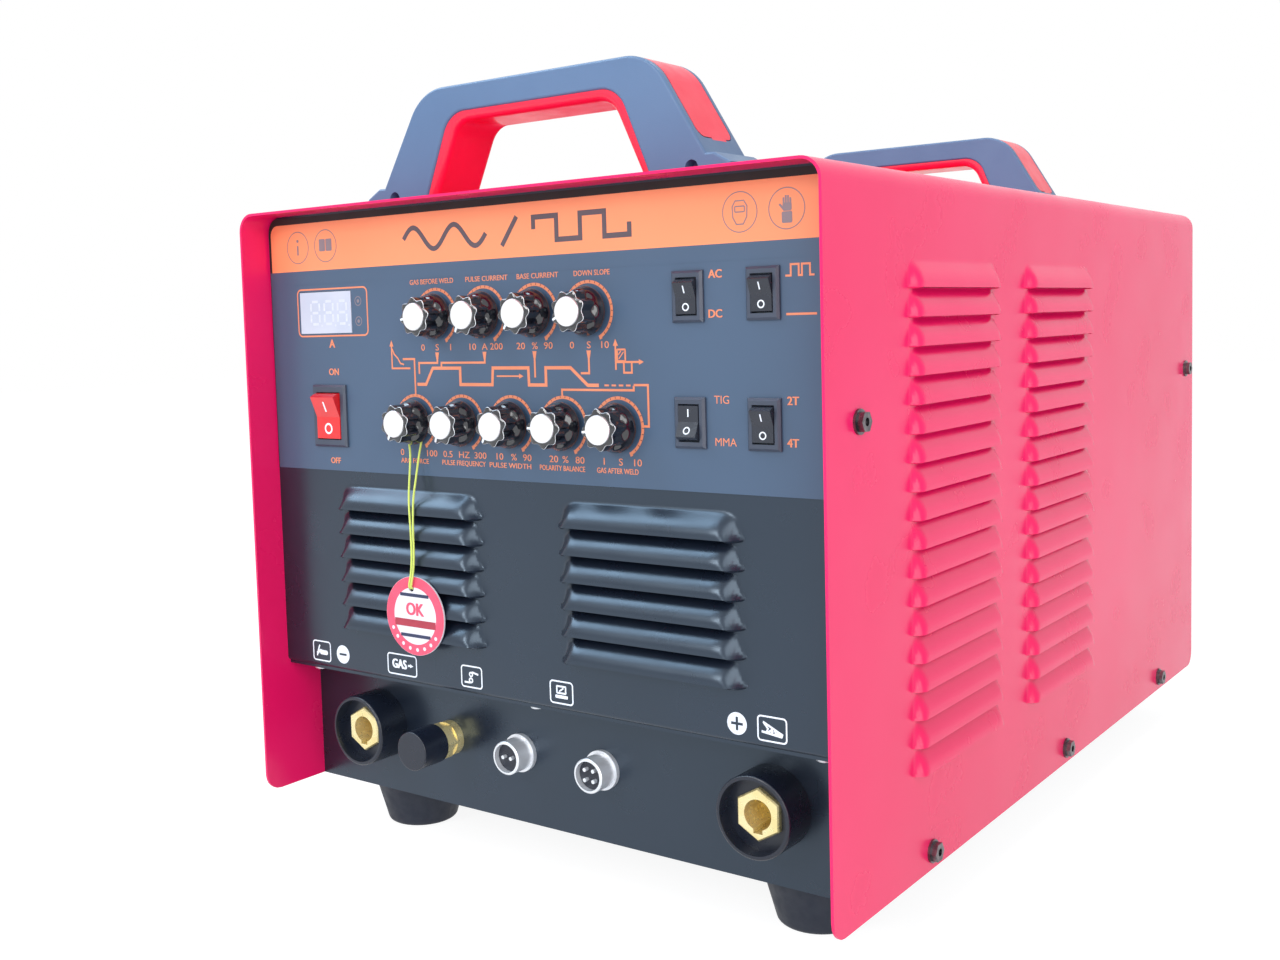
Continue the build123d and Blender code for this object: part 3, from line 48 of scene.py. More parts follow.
# Heights of plain rows that end the flat sheet just below and above its louvres
FRONT_FLAT_ROWS = (89.0, 162.2)
SIDE_LOW_ROWS = (28.0, 44.5)
SIDE_HIGH_ROWS = (261.7, 270.0)
COVER_SHEET = 1.2
COVER_BEND = 9.0
PANEL_SHEET = 1.5
PANEL_BEND = 2.0
LEDGE_HEIGHT = 66.2
OVERLAY_LOW = 168.5
KNOB_TOP_X = (-47.0, -17.0, 13.0, 43.0)
KNOB_TOP_Z = 243.8
KNOB_LOW_X = (-62.5, -32.5, -2.5, 27.5, 57.5)
KNOB_LOW_Z = 194.1
POWER_ROCKER = (-121.5, 196.0)

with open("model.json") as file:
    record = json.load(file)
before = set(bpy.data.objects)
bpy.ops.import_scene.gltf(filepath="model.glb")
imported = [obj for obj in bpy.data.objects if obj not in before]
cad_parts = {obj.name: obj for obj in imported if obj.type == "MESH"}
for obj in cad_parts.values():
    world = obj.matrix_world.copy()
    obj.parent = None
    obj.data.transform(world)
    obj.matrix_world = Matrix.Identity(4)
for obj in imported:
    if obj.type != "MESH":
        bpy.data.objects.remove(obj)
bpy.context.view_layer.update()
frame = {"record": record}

COVER_LOW, COVER_HIGH = (Vector(corner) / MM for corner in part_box("base_tray"))
BASE = COVER_LOW.z
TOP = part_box("front_handle_shells")[0][2] / MM
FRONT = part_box("cover")[0][1] / MM
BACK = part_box("cover")[1][1] / MM
HALF = COVER_HIGH.x + COVER_SHEET
OVERLAY_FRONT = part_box("control_overlay")[0][1] / MM
PANEL_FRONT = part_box("control_overlay")[1][1] / MM
CONNECTOR_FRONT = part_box("connector_panel")[1][1] / MM - 15.0 - PANEL_SHEET
KNOBS = [(x, KNOB_TOP_Z) for x in KNOB_TOP_X] + [(x, KNOB_LOW_Z) for x in KNOB_LOW_X]


# Colours and materials


def colour(red, green, blue):
    """A display colour, 0 to 255, as linear values."""
    values = []
    for channel in (red, green, blue):
        share = channel / 255
        values.append(share / 12.92 if share <= 0.04045 else ((share + 0.055) / 1.055) ** 2.4)
    return (*values, 1.0)


class Nodes:
    """A material's node tree, with short ways to add and link nodes."""

    def __init__(self, name):
        self.material = bpy.data.materials.new(name)
        self.material.use_nodes = True
        self.tree = self.material.node_tree
        self.shader = self.tree.nodes["Principled BSDF"]

    def add(self, kind, **values):
        node = self.tree.nodes.new(kind)
        for key, value in values.items():
            if hasattr(node, key) and not isinstance(getattr(node, key), bpy.types.bpy_prop_collection):
                setattr(node, key, value)
            else:
                node.inputs[key.replace("_", " ")].default_value = value
        return node

    def link(self, a, b):
        self.tree.links.new(a, b)

    def coords(self, scale=(1, 1, 1)):
        source = self.add("ShaderNodeTexCoord")
        mapping = self.add("ShaderNodeMapping")
        mapping.inputs["Scale"].default_value = scale
        self.link(source.outputs["Object"], mapping.inputs["Vector"])
        return mapping.outputs["Vector"]

    def noise(self, size_mm, detail=3.0, stretch=(1, 1, 1), roughness=0.5):
        scale = 1 / (size_mm * MM)
        node = self.add("ShaderNodeTexNoise")
        node.inputs["Scale"].default_value = scale
        node.inputs["Detail"].default_value = detail
        node.inputs["Roughness"].default_value = roughness
        self.link(self.coords(stretch), node.inputs["Vector"])
        return node.outputs["Fac"]

    def between(self, factor, low, high, low_at=0.35, high_at=0.65):
        node = self.add("ShaderNodeMapRange")
        node.inputs["From Min"].default_value = low_at
        node.inputs["From Max"].default_value = high_at
        node.inputs["To Min"].default_value = low
        node.inputs["To Max"].default_value = high
        self.link(factor, node.inputs["Value"])
        return node.outputs["Result"]

    def mix(self, factor, a, b):
        node = self.add("ShaderNodeMix")
        node.data_type = "RGBA"
        if isinstance(factor, float):
            node.inputs[0].default_value = factor
        else:
            self.link(factor, node.inputs[0])
        for socket, value in ((node.inputs[6], a), (node.inputs[7], b)):
            if isinstance(value, tuple):
                socket.default_value = value
            else:
                self.link(value, socket)
        return node.outputs[2]

    def bump(self, height, strength, distance_mm):
        node = self.add("ShaderNodeBump")
        node.inputs["Strength"].default_value = strength
        node.inputs["Distance"].default_value = distance_mm * MM
        self.link(height, node.inputs["Height"])
        return node.outputs["Normal"]


def finish(name, base, other, rough, grain, bump, patch, sockets):
    """A painted, moulded or metal surface: patchy colour and gloss over a fine grain."""
    nodes = Nodes(name)
    shader = nodes.shader
    patches = nodes.noise(patch, 4.0)
    mixed = nodes.mix(nodes.between(patches, 0.0, 1.0), colour(*base), colour(*other))
    nodes.link(mixed, shader.inputs["Base Color"])
    fine = nodes.noise(grain, 2.0)
    nodes.link(nodes.between(nodes.noise(patch / 4, 5.0), *rough), shader.inputs["Roughness"])
    nodes.link(nodes.bump(fine, bump, grain / 2), shader.inputs["Normal"])
    for key, value in sockets.items():
        shader.inputs[key].default_value = value
    return nodes.material


def brushed(name, base, other, stretch, rough):
    """Metal with fine lines along one direction."""
    nodes = Nodes(name)
    shader = nodes.shader
    lines = nodes.noise(0.8, 3.0, stretch)
    nodes.link(nodes.mix(lines, colour(*base), colour(*other)), shader.inputs["Base Color"])
    nodes.link(nodes.between(lines, *rough), shader.inputs["Roughness"])
    nodes.link(nodes.bump(lines, 0.12, 0.1), shader.inputs["Normal"])
    shader.inputs["Metallic"].default_value = 1.0
    return nodes.material


# Painted, moulded, printed and metal surfaces: two display colours, roughness from and to, the grain's size
# and bump, the size of the patches in millimetres, and any other shader inputs
FINISHES = {
    # The blue in cover_red, panel_black, overlay_print and handle_black is partly their own colour and
    # partly a painted reflection of a blue sky.
    "cover_red": (
        (240, 22, 100), (234, 18, 94), (0.2, 0.28), 1.6, 0.02, 140.0,
        {"Specular IOR Level": 0.42},
    ),
    "panel_black": (
        (21, 28, 42), (18, 25, 38), (0.26, 0.33), 0.9, 0.05, 90.0,
        {"Specular IOR Level": 0.85, "Specular Tint": (0.66, 0.83, 1.0, 1.0)},
    ),
    "overlay_print": ((68, 88, 113), (64, 84, 108), (0.32, 0.4), 0.5, 0.06, 120.0, {}),
    "band_orange": ((244, 148, 104), (240, 142, 98), (0.32, 0.4), 0.5, 0.05, 120.0, {}),
    # The margin is partly its own dark print and partly painted shade: darkened and browned where the
    # cover's top edge shades it.
    "margin_black_and_shade": ((30, 26, 26), (26, 22, 22), (0.6, 0.7), 0.5, 0.05, 80.0, {}),
    "mark_orange": ((226, 136, 100), (220, 128, 92), (0.4, 0.5), 0.5, 0.05, 30.0, {}),
    "mark_white": ((238, 242, 250), (228, 233, 244), (0.4, 0.5), 0.5, 0.05, 30.0, {}),
    "tick_dark": ((96, 62, 60), (90, 58, 56), (0.5, 0.6), 0.5, 0.05, 30.0, {}),
    "title_grey": ((88, 74, 82), (82, 70, 78), (0.4, 0.5), 0.5, 0.05, 30.0, {}),
    "mark_grey": ((134, 118, 124), (126, 112, 120), (0.4, 0.5), 0.5, 0.05, 30.0, {}),
    "handle_black": ((84, 112, 147), (78, 106, 141), (0.36, 0.46), 0.5, 0.18, 50.0, {}),
    "grip_red": ((238, 14, 66), (230, 10, 58), (0.28, 0.38), 0.8, 0.06, 40.0, {"Coat Weight": 0.2}),
    "foot_rubber": ((16, 26, 44), (14, 23, 40), (0.5, 0.65), 0.4, 0.2, 20.0, {}),
    "knob_black": ((14, 16, 24), (18, 20, 28), (0.1, 0.16), 1.2, 0.02, 15.0, {"Coat Weight": 1.0}),
    "switch_black": ((62, 70, 86), (56, 64, 80), (0.3, 0.4), 0.5, 0.1, 20.0, {}),
    "rocker_black": ((40, 44, 54), (36, 40, 50), (0.22, 0.3), 0.5, 0.06, 15.0, {}),
    "rocker_red": ((226, 20, 28), (214, 14, 22), (0.15, 0.24), 0.6, 0.04, 12.0, {"Coat Weight": 0.5}),
    "black_plastic": ((26, 32, 46), (23, 29, 42), (0.25, 0.35), 0.4, 0.15, 25.0, {}),
    "lens": ((196, 198, 212), (186, 190, 206), (0.18, 0.26), 1.0, 0.02, 20.0, {}),
    "digit_ghost": ((205, 207, 220), (205, 207, 220), (0.2, 0.3), 0.6, 0.02, 10.0, {}),
    "chrome": ((236, 238, 242), (226, 229, 234), (0.32, 0.42), 0.5, 0.03, 8.0, {"Metallic": 0.55}),
    "screw_zinc": ((128, 122, 126), (92, 88, 94), (0.25, 0.4), 0.5, 0.12, 3.0, {"Metallic": 1.0}),
    "brass": ((246, 230, 176), (238, 218, 154), (0.25, 0.35), 0.8, 0.03, 8.0, {"Metallic": 0.6}),
    "zinc_plate": ((176, 180, 186), (150, 156, 164), (0.3, 0.5), 0.8, 0.08, 25.0, {"Metallic": 1.0}),
    "board_green": ((20, 84, 52), (16, 70, 44), (0.25, 0.35), 1.5, 0.1, 12.0, {}),
    "capacitor_sleeve": ((30, 40, 92), (24, 34, 80), (0.2, 0.3), 0.8, 0.04, 15.0, {}),
    "core_iron": ((74, 70, 66), (58, 55, 52), (0.5, 0.7), 0.8, 0.25, 10.0, {}),
    "hose_rubber": ((30, 31, 34), (26, 27, 30), (0.5, 0.6), 0.5, 0.15, 10.0, {}),
    "tag_paper": ((232, 226, 232), (224, 218, 226), (0.5, 0.6), 0.3, 0.12, 12.0, {}),
    "tag_pink": ((236, 84, 112), (230, 76, 104), (0.4, 0.5), 0.3, 0.1, 12.0, {}),
    "tag_navy": ((44, 52, 84), (38, 46, 78), (0.4, 0.5), 0.3, 0.1, 8.0, {}),
    "tag_wine": ((172, 52, 70), (160, 46, 64), (0.4, 0.5), 0.3, 0.1, 8.0, {}),
    # dark_hole is painted shade: a dark red that stands in for the shaded inside of the screw holes.
    "dark_hole": ((42, 10, 26), (34, 8, 22), (0.4, 0.5), 0.5, 0.1, 4.0, {}),
}
# Brushed metals: two display colours, how the lines are stretched, and roughness from and to
BRUSHED = {
    "cap_aluminium": ((250, 251, 253), (238, 240, 244), (1, 1, 30), (0.25, 0.38)),
    "steel": ((176, 178, 182), (150, 152, 158), (12, 1, 12), (0.25, 0.4)),
    "pot_metal": ((180, 180, 182), (160, 160, 164), (8, 1, 1), (0.25, 0.4)),
    "aluminium": ((200, 202, 206), (178, 181, 186), (1, 12, 1), (0.25, 0.4)),
}

def make_materials():
    made = {"tag_yarn": yarn()}
    for name, values in FINISHES.items():
        made[name] = finish(name, *values)
    for name, values in BRUSHED.items():
        made[name] = brushed(name, *values)
    return made


def yarn():
    """Twisted yellow-green thread."""
    nodes = Nodes("tag_yarn")
    shader = nodes.shader
    wave = nodes.add("ShaderNodeTexWave")
    wave.bands_direction = "DIAGONAL"
    wave.inputs["Scale"].default_value = 900.0
    wave.inputs["Distortion"].default_value = 1.5
    nodes.link(nodes.coords(), wave.inputs["Vector"])
    twist = nodes.mix(wave.outputs["Fac"], colour(196, 214, 76), colour(238, 246, 132))
    nodes.link(twist, shader.inputs["Base Color"])
    nodes.link(nodes.bump(wave.outputs["Fac"], 0.6, 0.2), shader.inputs["Normal"])
    shader.inputs["Roughness"].default_value = 0.75
    shader.inputs["Sheen Weight"].default_value = 0.3
    return nodes.material


MATERIALS = make_materials()


def dress(obj, *names):
    obj.data.materials.clear()
    for name in names:
        obj.data.materials.append(MATERIALS[name])


def dress_cad():
    """Each carried-over CAD node takes the material of its slot in the record."""
    slots = {part["node"]: part["material_slot"] for part in frame["record"]["subparts"]}
    for node, slot in slots.items():
        name = "rocker_black" if node.endswith("_rocker") and slot == "switch_black" else slot
        dress(bpy.data.objects[node], "chrome" if node == "ledge_screws" else name)


# Pieces


def piece(name, vertices, faces, materials, body="housing", smooth=0.0, slots=None):
    """A mesh object from points in millimetres, smooth where its faces meet at less than an angle."""
    mesh = bpy.data.meshes.new(name)
    mesh.from_pydata([Vector(v) * MM for v in vertices], [], faces)
    obj = bpy.data.objects.new(name, mesh)
    bpy.context.collection.objects.link(obj)
    dress(obj, *materials)
    if slots:
        for polygon, index in zip(mesh.polygons, slots):
            polygon.material_index = index
    if smooth:
        mesh.shade_smooth()
        mesh.set_sharp_from_angle(angle=radians(smooth))
    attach(obj, body)
    return obj


def apply_modifiers(obj):
    evaluated = obj.evaluated_get(bpy.context.evaluated_depsgraph_get())
    mesh = bpy.data.meshes.new_from_object(evaluated)
    obj.modifiers.clear()
    obj.data = mesh


# Pressed sheets


def louvre_press(across, up, louvres):
    """How far a louvre stands out at a place: across from its middle, up from its lip."""
    inset = louvres["flare"] * (1 - exp(-up / 2.4))
    corner_from = LOUVRE_HEIGHT - LOUVRE_CORNER
    if up > corner_from:
        inset += LOUVRE_CORNER - sqrt(max(0.0, LOUVRE_CORNER**2 - (up - corner_from) ** 2))
    inside = louvres["length"] / 2 - inset - abs(across)
    if inside <= 0 or up >= LOUVRE_HEIGHT:
        return 0.0
    end = sin(pi / 2 * min(1.0, inside / louvres["ramp"]))
    rise = sin(pi / 2 * min(1.0, (1 - up / LOUVRE_HEIGHT) * 1.12)) ** 1.1
    return louvres["depth"] * rise * end


def louvre_lines(louvres):
    """Positions across each louvre column, closer together at the ends."""
    half = louvres["length"] / 2
    steps = (-0.7, 0, 0.8, 1.8, 3.0, 4.4, 6.0, 7.8, 10.0, 14.0, 22.0, 34.0)
    lines = []
    for centre in louvres["centres"]:
        lines += [centre - half + step for step in steps]
        lines += [centre + half - step for step in reversed(steps)]
    return lines


LOUVRE_ROWS = (0.0, 0.9, 2.0, 3.4, 5.0, 6.6, 8.0, 9.2, 10.2, LOUVRE_HEIGHT)


def louvre_heights(louvres):
    """The heights of the grid through all rows of louvres, and which of them are lips."""
    heights = []
    for row in range(louvres["count"]):
        lip = louvres["low"] + row * LOUVRE_PITCH
        heights += [(lip + step, step == 0.0) for step in LOUVRE_ROWS]
    return heights


def pressed_at(louvres, across, height):
    """The stand-out of the sheet at a place, from whichever louvre covers it."""
    row = int((height - louvres["low"] + 1e-6) // LOUVRE_PITCH)
    if not 0 <= row < louvres["count"]:
        return 0.0
    up = height - louvres["low"] - row * LOUVRE_PITCH
    for centre in louvres["centres"]:
        if abs(across - centre) <= louvres["length"] / 2:
            return louvre_press(across - centre, up, louvres)
    return 0.0


def make_cover():
    """The cover as one bent sheet: up the left side, over the top and down the right side."""
    lines = [0, 60, 120, 180, BACK - 30, BACK - 10, BACK]
    lines += [FRONT + line for line in [0, 10, 30, 170, 185, 310] + louvre_lines(SIDE_LOUVRES)]
    lines.sort()
    corner = 9.0
    rises = [0.0, 0.5, 1.4, 2.6, 4.2, 6.2, corner]
    side = [(height, False, False) for height in (*rises, *SIDE_LOW_ROWS)]
    side += [(height, True, lip) for height, lip in louvre_heights(SIDE_LOUVRES)]
    cover_height = TOP - BASE
    side += [(height, False, False) for height in (*SIDE_HIGH_ROWS, cover_height - COVER_BEND)]
    places = []
    profile = []
    for height, louvred, lip in side:
        places.append((Vector((-HALF, 0, BASE + height)), Vector((-1, 0, 0))))
        profile.append((height, louvred, lip))
    bend_steps = 8
    for step in range(1, bend_steps + 1):
        turn = pi / 2 * step / bend_steps
        out = Vector((-cos(turn), 0, sin(turn)))
        centre = Vector((-HALF + COVER_BEND, 0, TOP - COVER_BEND))
        places.append((centre + out * COVER_BEND, out))
        profile.append((cover_height, False, False))
    for x in (-110.0, -55.0):
        places.append((Vector((x, 0, TOP)), Vector((0, 0, 1))))
        profile.append((cover_height, False, False))
    mirrored = [(Vector((-p.x, p.y, p.z)), Vector((-n.x, n.y, n.z))) for p, n in reversed(places)]
    middle = [(Vector((0, 0, TOP)), Vector((0, 0, 1)))]
    half_rows = len(places)
    places = places + middle + mirrored
    left_profile = list(profile)
    # On the right side the rows run downwards, so that a lip's flat edge comes after its raised one
    profile = left_profile + [(cover_height, False, False)] + list(reversed(left_profile))

    def place(at, row, out):
        point, normal = places[row]
        return Vector((point.x, at, point.z)) + normal * out

    def inset(row):
        height = profile[row][0]
        return corner - sqrt(corner**2 - (corner - height) ** 2) if height < corner else 0.0

    obj = cover_grid(lines, profile, half_rows, place, inset)
    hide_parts("cover")
    return obj


def cover_grid(lines, profile, half_rows, place, inset):
    """The cover's grid, built as two sides that meet on the top's middle line."""
    vertices = []
    faces = []

    def add_row(row, pressed):
        height, louvred, _ = profile[row]
        draw = inset(row)
        indices = []
        for across in lines:
            at = min(max(across, lines[0] + draw), lines[-1] - draw)
            out = pressed_at(SIDE_LOUVRES, across - FRONT, height) if louvred and pressed else 0.0
            indices.append(len(vertices))
            vertices.append(place(at, row, out))
        return indices

    previous = None
    for row, (height, _, lip) in enumerate(profile):
        raised = add_row(row, True)
        flat = raised
        if lip:
            plain = add_row(row, False)
            flat = [
                plain[index] if pressed_at(SIDE_LOUVRES, across - FRONT, height) > 0 else raised[index]
                for index, across in enumerate(lines)
            ]
        downwards = row > half_rows
        first, last = (raised, flat) if downwards else (flat, raised)
        if previous:
            for column in range(len(lines) - 1):
                faces.append((previous[column], previous[column + 1], first[column + 1], first[column]))
        previous = last
    obj = piece("cover_sheet", vertices, faces, ["cover_red"], smooth=42.0)
    thicken(obj, COVER_SHEET, outside=Vector((0, 0, TOP * MM)))
    return obj


def thicken(obj, thickness, outside):
    """Gives a sheet its thickness behind its outer face, the one that looks towards a point outside."""
    bm = bmesh.new()
    bm.from_mesh(obj.data)
    loose = [vertex for vertex in bm.verts if not vertex.link_faces]
    bmesh.ops.delete(bm, geom=loose, context="VERTS")
    nearest = min(bm.faces, key=lambda face: (face.calc_center_median() - outside).length)
    if nearest.normal.dot(outside - Vector((0, 0, outside.z / 2))) < 0:
        bmesh.ops.reverse_faces(bm, faces=bm.faces)
    bm.to_mesh(obj.data)
    bm.free()
    solid = obj.modifiers.new("sheet", "SOLIDIFY")
    solid.thickness = thickness * MM
    solid.offset = -1.0
    apply_modifiers(obj)
    obj.data.set_sharp_from_angle(angle=radians(42))


def make_front_panel():
    """The dark front: back along the ledge, a small bend, and up behind the overlay."""
    half = HALF - COVER_SHEET - 0.05
    lines = sorted([-half, -half + 12, 0, half - 12, half] + louvre_lines(FRONT_LOUVRES))
    panel_top = TOP - COVER_SHEET - BASE
    ledge_back = CONNECTOR_FRONT + PANEL_SHEET
    places = [Vector((0, ledge_back, LEDGE_HEIGHT)), Vector((0, PANEL_FRONT + PANEL_BEND, LEDGE_HEIGHT))]
    profile = [(0.0, False, False), (0.0, False, False)]
    for step in range(1, 5):
        turn = pi / 2 * step / 4
        y = PANEL_FRONT + PANEL_BEND * (1 - sin(turn))
        places.append(Vector((0, y, LEDGE_HEIGHT + PANEL_BEND * (1 - cos(turn)))))
        profile.append((0.0, False, False))
    places.append(Vector((0, PANEL_FRONT, FRONT_FLAT_ROWS[0])))
    profile.append((FRONT_FLAT_ROWS[0], False, False))
    for height, lip in louvre_heights(FRONT_LOUVRES):
        places.append(Vector((0, PANEL_FRONT, height)))
        profile.append((height, True, lip))
    heights = [FRONT_FLAT_ROWS[1], OVERLAY_LOW, 240.0]
    heights += [panel_top - COVER_BEND * (1 - sin(pi / 2 * step / 6)) for step in range(7)]
    for height in heights:
        places.append(Vector((0, PANEL_FRONT, height)))
        profile.append((height, False, False))
    vertices = []
    faces = []
    previous = None
    for row, (height, louvred, lip) in enumerate(profile):
        from_top = panel_top - height
        draw = 0.0
        if height > 0 and from_top < COVER_BEND:
            draw = COVER_BEND - sqrt(COVER_BEND**2 - (COVER_BEND - from_top) ** 2)
        levels = (True, False) if lip else (True,)
        made = []
        for raised in levels:
            indices = []
            for across in lines:
                out = pressed_at(FRONT_LOUVRES, across, height) if louvred and raised else 0.0
                at = min(max(across, -half + draw), half - draw)
                indices.append(len(vertices))
                vertices.append((at, places[row].y - out, BASE + places[row].z))
            made.append(indices)
        upper = made[0]
        lower = upper
        if lip:
            lower = [
                made[1][i] if pressed_at(FRONT_LOUVRES, across, height) > 0 else upper[i]
                for i, across in enumerate(lines)
            ]
        if previous:
            for column in range(len(lines) - 1):
                faces.append((previous[column], previous[column + 1], lower[column + 1], lower[column]))
        previous = upper
    obj = piece("front_sheet", vertices, faces, ["panel_black"], smooth=42.0)
    thicken(obj, PANEL_SHEET, outside=Vector((0, PANEL_FRONT * MM, 0.1)))
    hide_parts("front_panel")
    return obj


# Printed marks: flat shapes a hair in front of the surface that carries them


class Print:
    """Collects flat shapes on the front, in (x, z) from the middle and the cover's lower edge."""

    def __init__(self, y):
        self.y = y
        self.shapes = 0
        self.vertices = []
        self.faces = []

    def step(self):
        """Each shape lies a hair in front of the last one, so that crossing shapes don't share a plane."""
        self.shapes += 1

    def polygon(self, points):
        start = len(self.vertices)
        y = self.y - HAIR * (self.shapes % 12)
        self.vertices += [(x, y, BASE + z) for x, z in points]
        self.faces.append(tuple(range(start, start + len(points))))

    def stroke(self, points, width, closed=False):
        """A line of a width through points, with mitred corners."""
        self.step()
        points = [Vector(p) for p in points]
        count = len(points)
        sides = []
        for i, point in enumerate(points):
            before = points[i - 1] if i or closed else None
            after = points[(i + 1) % count] if i < count - 1 or closed else None
            run_in = (point - before).normalized() if before is not None else None
            run_out = (after - point).normalized() if after is not None else None
            along = (run_in or run_out) + (run_out or run_in)
            normal = Vector((-along.y, along.x)).normalized()
            reference = run_in or run_out
            square = Vector((-reference.y, reference.x))
            reach = width / 2 / max(0.3, normal.dot(square))
            sides.append((point + normal * reach, point - normal * reach))
        last = count if closed else count - 1
        for i in range(last):
            a, b = sides[i], sides[(i + 1) % count]
            self.polygon([a[0], b[0], b[1], a[1]])

    def ring(self, x, z, inner, outer, start=0.0, end=360.0):
        self.step()
        steps = max(6, int(abs(end - start) / 6))
        turns = [radians(start + (end - start) * i / steps) for i in range(steps + 1)]
        for a, b in zip(turns, turns[1:]):
            corners = [(inner, a), (outer, a), (outer, b), (inner, b)]
            self.polygon([(x + r * cos(t), z + r * sin(t)) for r, t in corners])

    def disc(self, x, z, radius):
        self.step()
        self.polygon([(x + radius * cos(pi * i / 16), z + radius * sin(pi * i / 16)) for i in range(32)])

    def rounded(self, x0, x1, z0, z1, corner):
        self.step()
        self.polygon(rounded_points(x0, x1, z0, z1, corner))

    def frame(self, x0, x1, z0, z1, corner, width):
        self.stroke(rounded_points(x0, x1, z0, z1, corner), width, closed=True)

    def arrow(self, tail, head, width, tip):
        tail, head = Vector(tail), Vector(head)
        along = (head - tail).normalized()
        across = Vector((-along.y, along.x))
        neck = head - along * tip
        self.stroke([tail, neck], width)
        self.step()
        self.polygon([neck + across * tip * 0.45, head, neck - across * tip * 0.45])

    def text(self, words, x, z, size, weight=0.03, stretch=1.0, width=None):
        """Letters centred on a place, size being their height, printed twice side by side for weight."""
        curve = bpy.data.curves.new("letters", "FONT")
        curve.body = words
        curve.align_x = "CENTER"
        curve.align_y = "CENTER"
        curve.size = size * 1.38
        curve.offset = weight * size / 3
        curve.resolution_u = 3
        obj = bpy.data.objects.new("letters", curve)
        bpy.context.collection.objects.link(obj)
        mesh = bpy.data.meshes.new_from_object(obj.evaluated_get(bpy.context.evaluated_depsgraph_get()))
        if width:
            across = [v.co.x for v in mesh.vertices]
            stretch = width / (max(across) - min(across))
        for shift in (-weight * size, weight * size):
            self.step()
            y = self.y - HAIR * (self.shapes % 12)
            start = len(self.vertices)
            self.vertices += [(x + shift + v.co.x * stretch, y, BASE + z + v.co.y) for v in mesh.vertices]
            self.faces += [tuple(start + i for i in polygon.vertices) for polygon in mesh.polygons]
        bpy.data.objects.remove(obj)
        bpy.data.curves.remove(curve)
        bpy.data.meshes.remove(mesh)

    def make(self, name, material, body="housing"):
        obj = piece(name, self.vertices, self.faces, [material], body)
        bm = bmesh.new()
        bm.from_mesh(obj.data)
        for face in bm.faces:
            if face.normal.y > 0:
                face.normal_flip()
        bm.to_mesh(obj.data)
        bm.free()
        return obj


def rounded_points(x0, x1, z0, z1, corner, steps=6):
    points = []
    for cx, cz, start in (
        (x1 - corner, z1 - corner, 0),
        (x0 + corner, z1 - corner, 90),
        (x0 + corner, z0 + corner, 180),
        (x1 - corner, z0 + corner, 270),
    ):
        for step in range(steps + 1):
            turn = radians(start + 90 * step / steps)
            points.append((cx + corner * cos(turn), cz + corner * sin(turn)))
    return points


LAYER = 0.06
HAIR = 0.004


BAND_LOW = 268.7
BAND_TOP = 292.5
BAND_CORNER = 5.0
BAND_MARGIN = 1.3
MARGIN_LOW = 262.0
ICON_Z = 280.6


def make_band():
    """The orange band across the overlay's top, on a dark margin whose brownish black is partly painted
    shade under the cover's top edge.
    """
    half = HALF - COVER_SHEET - 1.0
    margin = Print(OVERLAY_FRONT - LAYER)
    margin.rounded(-half, half, MARGIN_LOW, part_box("control_overlay")[1][2] / MM - BASE, 6.0)
    margin.make("overlay_margin", "margin_black_and_shade")
    field = Print(OVERLAY_FRONT - 2 * LAYER)
    field_low = MARGIN_LOW - 0.1
    field.polygon([(-half, field_low), (half, field_low), (half, BAND_LOW), (-half, BAND_LOW)])
    field.make("overlay_field", "overlay_print")
    band = Print(OVERLAY_FRONT - 2 * LAYER)
    inner = half - BAND_MARGIN
    rounded = rounded_points(-inner, inner, MARGIN_LOW, BAND_TOP, BAND_CORNER)
    band.polygon([p for p in rounded if p[1] > BAND_LOW] + [(-inner, BAND_LOW), (inner, BAND_LOW)])
    band.make("overlay_band", "band_orange")
    marks = Print(OVERLAY_FRONT - 3 * LAYER)
    for x in (-141.1, -120.6, 119.8, 140.9):
        marks.ring(x, ICON_Z, 7.7, 8.1)
    marks.stroke([(-141.1, 281.6), (-141.1, 276.8)], 1.1)
    marks.disc(-141.1, 283.9, 0.8)
    book_x, book_z = -120.6, 281.0
    marks.rounded(book_x - 4.6, book_x - 0.25, book_z - 3.0, book_z + 3.0, 0.6)
    marks.rounded(book_x + 0.25, book_x + 4.6, book_z - 3.0, book_z + 3.0, 0.6)
    helmet(marks, 119.8, ICON_Z)
    glove_mark(marks, 140.9, ICON_Z)
    marks.make("band_marks", "mark_grey")
    make_title()


def helmet(marks, x, z):
    """A welding mask with its window."""
    outline = [(x - 3.4, z + 2.2), (x - 2.0, z + 4.4), (x + 2.0, z + 4.4), (x + 3.4, z + 2.2)]
    outline += [(x + 3.2, z - 2.0), (x + 1.6, z - 4.8), (x - 1.6, z - 4.8), (x - 3.2, z - 2.0)]
    marks.stroke(outline, 0.5, closed=True)
    marks.frame(x - 2.2, x + 2.2, z, z + 2.2, 0.4, 0.5)


def glove_mark(marks, x, z):
    """A welding glove: its cuff, palm, four fingers and thumb."""
    marks.rounded(x - 2.2, x + 2.4, z - 5.6, z - 1.2, 0.6)
    marks.rounded(x - 1.8, x + 2.2, z - 1.0, z + 2.2, 0.8)
    for side, top in ((-1.3, 4.2), (-0.3, 5.0), (0.7, 4.9), (1.7, 4.0)):
        marks.stroke([(x + side, z + 1.6), (x + side, z + top)], 0.8)
    marks.stroke([(x - 1.4, z - 0.2), (x - 3.2, z + 1.8)], 0.9)


def make_title():
    """In the title's place, only the two current kinds: a sine wave and a square wave."""
    marks = Print(OVERLAY_FRONT - 3 * LAYER)
    width, middle, rise = 2.3, 280.4, 5.2
    marks.stroke([(-66 + 52 * i / 40, middle + rise * sin(4 * pi * i / 40)) for i in range(41)], width)
    square = [(14, middle)]
    for start in (14, 40):
        square += [(start, middle + rise), (start + 13, middle + rise)]
        square += [(start + 13, middle - rise), (start + 26, middle - rise)]
    marks.stroke(square + [(66, middle)], width)
    marks.stroke([(-4.5, middle - 6.2), (4.5, middle + 6.2)], width)
    marks.make("current_kinds", "title_grey")


